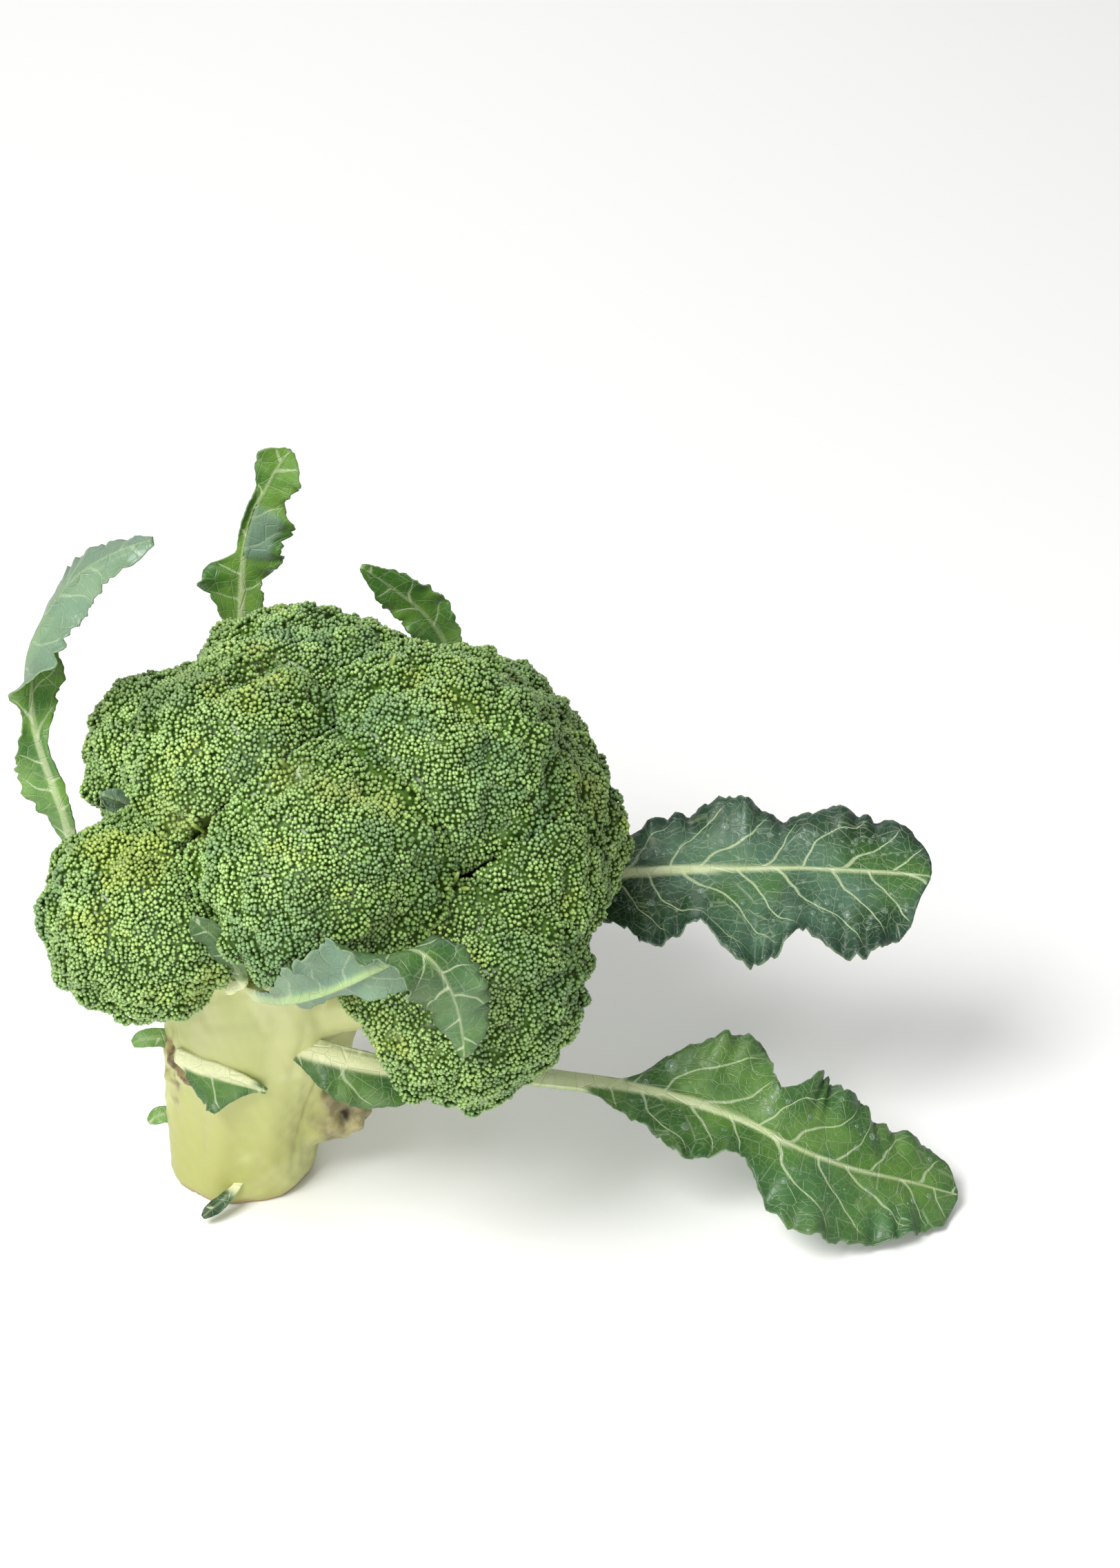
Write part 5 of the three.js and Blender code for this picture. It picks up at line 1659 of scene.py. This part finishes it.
@dataclass
class Leaf:
    """A leaf on its stem: fine rings along the rows, waved, toothed and veined."""

    name: str
    rows: np.ndarray
    look: tuple[float, float, float, float]
    fold: tuple[float, float] | None = None
    cup_power: float = 1.4
    wave_length: float = 27.0
    ruffle_length: float = 9.5
    vein_step: float = 14.0
    vein_lean: float = 0.75
    step: float = 1.05
    small_step: float = 0.7
    small_width: float = 12.0
    half_count: int = 14
    thickness: tuple[float, float] = (0.75, 0.45)
    edge_teeth: tuple[tuple[float, int], ...] = ((5.2, 0), (2.8, 9), (4.7, 3), (2.6, 5))
    teeth_depths: tuple[float, float] = (0.07, 0.04)
    ruffle_height: float = 1.5
    pillow_height: float = 0.55
    fold_height: float = 1.1
    rib_heights: tuple[float, float] = (0.25, 1.5)
    pale_heights: tuple[float, float] = (62.0, 30.0)
    path_points: int = 1500
    least_width: float = 1.1
    column_power: float = 1.15
    ruffle_drift: tuple[float, float] = (1.5, 0.21)
    ruffle_power: float = 2.2
    pillow_ends: tuple[float, float] = (6.0, 0.1)
    keel_width: float = 0.95
    lowest: float = 0.45
    fold_ends: float = 0.05
    fold_reach: tuple[float, float] = (0.8, 0.65)
    tooth_wander: tuple[float, float] = (0.35, 1.7)
    tooth_jitter: tuple[float, float] = (0.2, 0.61)
    tooth_tip: float = 0.72
    tooth_depths: tuple[float, float] = (0.55, 0.45)
    vein_curve: float = 0.012
    vein_swing: tuple[float, float] = (0.15, 5.5)
    vein_offset: float = 0.45
    # The veins' wander: its height, pace outwards, pace along, and whether the seed moves it.
    vein_wander: tuple[tuple[float, float, float, int], ...] = ((0.1, 0.24, 0.13, 1), (0.02, 0.9, 0.3, 0))

    def build(self, material: bpy.types.Material) -> tuple[np.ndarray, np.ndarray]:
        """Makes and dresses the leaf.

        Args:
            material: the leaf's finish.

        Returns:
            The upper face's grid of points and of normals.
        """
        along, t = self.stations()
        values = rows_at(self.rows, t)
        middle = values[:, :3]
        tangent = unit(np.gradient(middle, axis=0))
        face = values[:, 3:6]
        face = unit(face - (face * tangent).sum(1, keepdims=True) * tangent)
        side = np.cross(tangent, face)
        rib = np.maximum(0.5, values[:, 8])
        seed = sum(map(ord, self.name))
        x, width = self.spread(along, values, rib, seed)
        out = np.clip((np.abs(x) - rib[:, None]) / (width - 0.98 * rib[:, None]), 0, 1)
        veins = self.vein_field(along[:, None], x, seed)
        turned = self.turned(t[:, None], out) * (x > 0)
        rise = self.rise(along[:, None], values, x, width, out, veins) + self.fold_height * turned
        sheet = middle[:, None] + x[..., None] * side[:, None] + rise[..., None] * face[:, None]
        normal = unit(np.cross(np.gradient(sheet, axis=0), np.gradient(sheet, axis=1)))
        normal = normal * np.sign((normal * face[:, None]).sum(-1, keepdims=True) + 1e-9)
        near = x / rib[:, None]
        upper, lower = self.faces(sheet, normal, face[:, None], rib[:, None], near, out)
        points, triangles = closed_loft(np.concatenate([upper, lower[:, ::-1]], axis=1))
        fresh, _, pale_above, pale_below = self.look
        stemmy = smoothstep(1.0, 0.1, width - rib[:, None] * 1.1) * smoothstep(0.92, 0.75, t[:, None])
        late = t[:, None] ** 2
        above = smoothstep(1.15, 0.55, np.abs(near) * (1 + late)) * pale_above
        above = above * (1 - 0.5 * late) * (1 - turned)
        below = smoothstep(1.35, 0.8, np.abs(near)) * pale_below
        pairs = {
            "upper": (1 - turned, 0.0),
            "out": (out, out),
            "rib": (np.maximum(above, stemmy), np.maximum(below, stemmy)),
            "veins": (veins, veins),
            "fresh": (fresh, fresh),
            "base": (smoothstep(*self.pale_heights, along)[:, None],) * 2,
            "u": (along[:, None] / 100,) * 2,
            "v": (x / 100, x / 100),
        }
        both = {key: self.round_ring(x.shape, *pair) for key, pair in pairs.items()}
        made = Surface(points, triangles, both).outward()
        name = self.name + "_blade"
        place_piece(name, made.mesh(name), material, (self.name,))
        return upper, normal

    def stations(self) -> tuple[np.ndarray, np.ndarray]:
        """Where the fine rings stand: the way along the midrib, and the share of the rows.

        Returns:
            Both, one a ring.
        """
        fine = np.linspace(0, 1, self.path_points)
        path = rows_at(self.rows, fine)[:, :3]
        length = np.concatenate([[0], np.cumsum(np.linalg.norm(np.diff(path, axis=0), axis=1))])
        widest = max(self.rows[:, 6].max(), self.rows[:, 7].max())
        step = self.step if widest > self.small_width else self.small_step * self.step
        along = np.linspace(0, length[-1], int(length[-1] / step) + 2)
        return along, np.interp(along, length, fine)

    def spread(
        self, along: np.ndarray, values: np.ndarray, rib: np.ndarray, seed: int
    ) -> tuple[np.ndarray, np.ndarray]:
        """How far each point lies from the midrib, and the toothed half width on its side.

        Args:
            along: the way along the midrib at each ring.
            values: the rows there.
            rib: the rib's half width there.
            seed: moves the teeth.

        Returns:
            The distances, negative to the left, and the half widths, both rings by points.
        """
        deep, shallow = self.teeth_depths
        jag = self.look[1]
        a, b, c, d = (self.teeth(along, size, seed + more) for size, more in self.edge_teeth)
        least = self.least_width * rib
        left = np.maximum(least, values[:, 6] * (1 - jag * (deep * a + shallow * b)))
        right = np.maximum(least, values[:, 7] * (1 - jag * (deep * c + shallow * d)))
        q = np.linspace(-1, 1, 2 * self.half_count + 1)[None]
        width = np.where(q < 0, left[:, None], right[:, None])
        return np.sign(q) * np.abs(q) ** self.column_power * width, width

    def rise(
        self,
        along: np.ndarray,
        values: np.ndarray,
        x: np.ndarray,
        width: np.ndarray,
        out: np.ndarray,
        veins: np.ndarray,
    ) -> np.ndarray:
        """How far the blade stands up from the rib's plane: its cup, waves, ruffles and pillows.

        Args:
            along: the way along the midrib, one a ring.
            values: the rows at each ring.
            x: the distance from the midrib.
            width: the half width on that side.
            out: the share of the way from the rib to the edge.
            veins: the value of vein_field.

        Returns:
            The heights, rings by points.
        """
        cup = np.where(x < 0, values[:, 9:10], values[:, 10:11])
        phase = 2 * math.pi * along / self.wave_length + np.where(x < 0, 0, 2)
        rise = (cup + values[:, 11:12] * np.sin(phase)) * out**self.cup_power
        blade = np.clip((width - np.maximum(0.5, values[:, 8:9])) / self.small_width, 0, 1)
        drift, pace = self.ruffle_drift
        ruffle = 2 * math.pi * along / self.ruffle_length + np.where(x < 0, 1, 3)
        ruffle = ruffle + drift * np.sin(pace * along)
        rise = rise + self.ruffle_height * blade * np.sin(ruffle) * out**self.ruffle_power
        slope, start = self.pillow_ends
        ends = np.minimum(1, slope * out * (1 - out) + start)
        pillow = np.sqrt(np.abs(np.sin(math.pi * (veins - 0.5)))) * ends
        return rise + self.pillow_height * blade * pillow * (out > 0)

    def faces(
        self,
        sheet: np.ndarray,
        normal: np.ndarray,
        face: np.ndarray,
        rib: np.ndarray,
        near: np.ndarray,
        out: np.ndarray,
    ) -> tuple[np.ndarray, np.ndarray]:
        """The upper and lower faces: the sheet thickened, with the rib standing out underneath.

        Args:
            sheet: the blade's middle, rings by points by 3.
            normal: its normals.
            face: the way that each ring looks.
            rib: the rib's half width.
            near: the distance from the midrib over that.
            out: the share of the way from the rib to the edge.

        Returns:
            The two faces, kept just above the surface that the head stands on.
        """
        thick = self.thickness[0] + (self.thickness[1] - self.thickness[0]) * out
        crown, keel = self.rib_heights
        above = crown * rib * np.exp(-(near**2))
        below = keel * rib * np.exp(-((near / self.keel_width) ** 2))
        upper = sheet + normal * (thick / 2)[..., None] + face * above[..., None]
        lower = sheet - normal * (thick / 2)[..., None] - face * below[..., None]
        upper[..., 2] = np.maximum(upper[..., 2], self.lowest)
        lower[..., 2] = np.maximum(lower[..., 2], 0.0)
        return upper, lower

    @staticmethod
    def round_ring(
        shape: tuple[int, int], above: np.ndarray | float, below: np.ndarray | float
    ) -> np.ndarray:
        """One value a point round each ring, upper face first, and then one for each end.

        Args:
            shape: rings by points.
            above: the upper face's values.
            below: the lower face's values.

        Returns:
            The values in the order of closed_loft's points.
        """
        over, under = np.broadcast_to(above, shape), np.broadcast_to(below, shape)[:, ::-1]
        whole = np.concatenate([over, under], axis=1)
        return np.concatenate([whole.ravel(), whole[0].mean(keepdims=True), whole[-1].mean(keepdims=True)])

    def turned(self, t: np.ndarray, out: np.ndarray) -> np.ndarray:
        """How far the blade is folded over: 1 between the fold's ends, on the inner part.

        Args:
            t: the share of the rows.
            out: the share of the way from the rib to the edge.

        Returns:
            A share for each point.
        """
        if self.fold is None:
            return 0 * (t + out)
        start, end = self.fold
        ends = self.fold_ends
        between = smoothstep(start, start + ends, t) * smoothstep(end, end - ends, t)
        return between * smoothstep(*self.fold_reach, out)

    def teeth(self, along: np.ndarray, size: float, seed: int) -> np.ndarray:
        """Uneven saw teeth between 0 and 1: a saw along the leaf whose pace and depth wander.

        Args:
            along: the way along the leaf.
            size: a tooth's usual length in millimetres.
            seed: moves the teeth.

        Returns:
            The depth of the bite at each place.
        """
        wander, pace = self.tooth_wander
        jitter, quick = self.tooth_jitter
        place = along / size + wander * np.sin(along / (pace * size) + seed)
        place = place + jitter * np.sin(along / (quick * size))
        saw = place - np.floor(place)
        least, more = self.tooth_depths
        return np.abs(saw - self.tooth_tip) / self.tooth_tip * (least + more * draw(np.floor(place) + seed))

    def vein_field(self, along: np.ndarray, x: np.ndarray, seed: int) -> np.ndarray:
        """Which lateral vein a point is near: whole numbers and a half lie on a vein.

        The way along, less a share of the way out, over the veins' step, plus a slow wander.

        Args:
            along: the way along the midrib.
            x: the distance from it.
            seed: moves the wander.

        Returns:
            One value a point.
        """
        out = np.abs(x)
        lean = self.vein_lean * out + self.vein_curve * x**2
        wander = sum(h * np.sin(a * out + b * along + m * seed) for h, a, b, m in self.vein_wander)
        swing, length = self.vein_swing
        uneven = swing * np.sin(along / length + seed + np.where(x < 0, 0, 2))
        return (along - lean) / self.vein_step + wander + uneven + np.where(x < 0, 0.0, self.vein_offset)


@dataclass(frozen=True)
class Drops:
    """Drops of water on a leaf: flattened half balls of several rings, on its upper face."""

    leaf: str
    count: int
    along: tuple[float, float] = (0.5, 0.97)
    margin: int = 4
    smallest: float = 0.5
    size_range: float = 1.0
    biggest: float = 2.3
    flatness: float = 0.55
    lift: float = 0.12
    polar: tuple[float, ...] = (0.35, 0.75, 1.15, 1.55, 1.9)
    sides: int = 12

    def surface(self, upper: np.ndarray, normal: np.ndarray) -> Surface:
        """Makes all the drops.

        Args:
            upper: the upper face's grid of points.
            normal: its normals.

        Returns:
            The drops as one surface.
        """
        rng = np.random.default_rng(len(self.leaf))
        rows, columns = upper.shape[:2]
        row = rng.integers(int(self.along[0] * rows), int(self.along[1] * rows), self.count)
        on_left = rng.random(self.count) < 0.5
        left = rng.integers(self.margin, columns // 2 - self.margin, self.count)
        right = rng.integers(columns // 2 + self.margin, columns - self.margin, self.count)
        column = np.where(on_left, left, right)
        size = self.smallest + self.size_range * rng.random(self.count) ** 3
        size[0] = self.biggest
        out = normal[row, column]
        first = unit(np.cross(out, [0.3, 0.2, 0.9]))
        second = np.cross(out, first)
        polar = np.array(self.polar)
        turn = np.linspace(0, 2 * math.pi, self.sides, endpoint=False)
        parts = []
        for i in range(self.count):
            ring = np.cos(turn)[None, :, None] * first[i] + np.sin(turn)[None, :, None] * second[i]
            across = np.sin(polar)[:, None, None] * ring
            up = (self.flatness * np.cos(polar) + self.lift)[:, None, None] * out[i]
            points, triangles = closed_loft(upper[row[i], column[i]] + size[i] * (across + up))
            parts.append(Surface(points, triangles).outward())
        return Surface.join(parts)


@dataclass
class Foliage:
    """All the leaves, and the drops of water on the two to the right."""

    finish: LeafFinish = LeafFinish()
    water: WaterFinish = WaterFinish()
    drops: tuple[Drops, ...] = (Drops("leaf_right_mid", 120), Drops("leaf_right_low", 50))

    def build(self) -> None:
        """Makes and dresses every leaf, then wets two of them."""
        material = self.finish.material()
        faces = {}
        for name, rows in LEAVES.items():
            faces[name] = Leaf(name, np.array(rows, float), LOOKS[name], FOLDS.get(name)).build(material)
        clear = self.water.material()
        for drops in self.drops:
            title = "drops_on_" + drops.leaf
            mesh = drops.surface(*faces[drops.leaf]).mesh(title)
            place_piece(title, mesh, clear, ())


# The studio


@dataclass(frozen=True)
class Lamp:
    """A square soft light: its place and aim in metres, its side in metres and its power in watts."""

    name: str
    at: Triple
    aim: Triple
    side: float
    power: float

    def build(self) -> None:
        """Puts the light in the scene, turned to its aim."""
        data = bpy.data.lights.new(self.name, "AREA")
        data.size = self.side
        data.energy = self.power
        light = bpy.data.objects.new(self.name, data)
        light.location = self.at
        way = Vector(self.aim) - Vector(self.at)
        light.rotation_euler = way.to_track_quat("-Z", "Y").to_euler()
        bpy.context.scene.collection.objects.link(light)


@dataclass
class Studio:
    """A pale floor, soft lights and the camera."""

    lamps: tuple[Lamp, ...] = (
        Lamp("key", (-0.6, -0.85, 1.4), (0.05, 0, 0.1), 0.8, 32.5),
        Lamp("fill", (-0.15, -1.4, 0.5), (0.05, 0, 0.1), 1.0, 8.0),
        Lamp("back", (-0.2, 1.4, 1.2), (0.05, 0, 0.15), 1.2, 9.0),
    )
    camera_at: Triple = (0.099975, -1.02860, 0.75826)
    camera_down: float = 31.0
    lens: float = 92.67
    sensor: float = 36.0
    sky: float = 0.38

    def build(self) -> None:
        """Sets up the floor, the lights, the sky and the camera."""
        scene = bpy.context.scene
        floor = self.floor()
        for lamp in self.lamps:
            lamp.build()
        world = bpy.data.worlds.new("studio")
        world.use_nodes = True
        world.node_tree.nodes["Background"].inputs[0].default_value = (1, 1, 1, 1)
        world.node_tree.nodes["Background"].inputs[1].default_value = self.sky
        scene.world = world
        scene.view_settings.view_transform = "Standard"
        data = bpy.data.cameras.new("camera")
        data.lens = self.lens
        data.sensor_width = self.sensor
        camera = bpy.data.objects.new("camera", data)
        camera.location = self.camera_at
        camera.rotation_euler = (math.radians(90 - self.camera_down), 0, 0)
        scene.collection.objects.link(camera)
        scene.camera = camera

    @staticmethod
    def floor() -> bpy.types.Object:
        """A wide pale plane at height 0.

        Returns:
            The floor's object.
        """
        mesh = bpy.data.meshes.new("floor")
        half, low = 6, -0.0002
        corners = [(-half, -half, low), (half, -half, low), (half, half, low), (-half, half, low)]
        mesh.from_pydata(corners, [], [(0, 1, 2, 3)])
        p = Pattern("floor")
        p.coat("f4f4f2", 0.8)
        mesh.materials.append(p.material)
        floor = bpy.data.objects.new("floor", mesh)
        bpy.context.scene.collection.objects.link(floor)
        return floor


def main() -> None:
    """Builds the studio and the head."""
    logging.basicConfig(level=logging.INFO, format="%(name)s %(message)s")
    Studio().build()
    crown = Crown()
    crown.build()
    Stalk().build(crown)
    Foliage().build()
    bpy.context.view_layer.update()


if __name__ == "__main__":
    main()
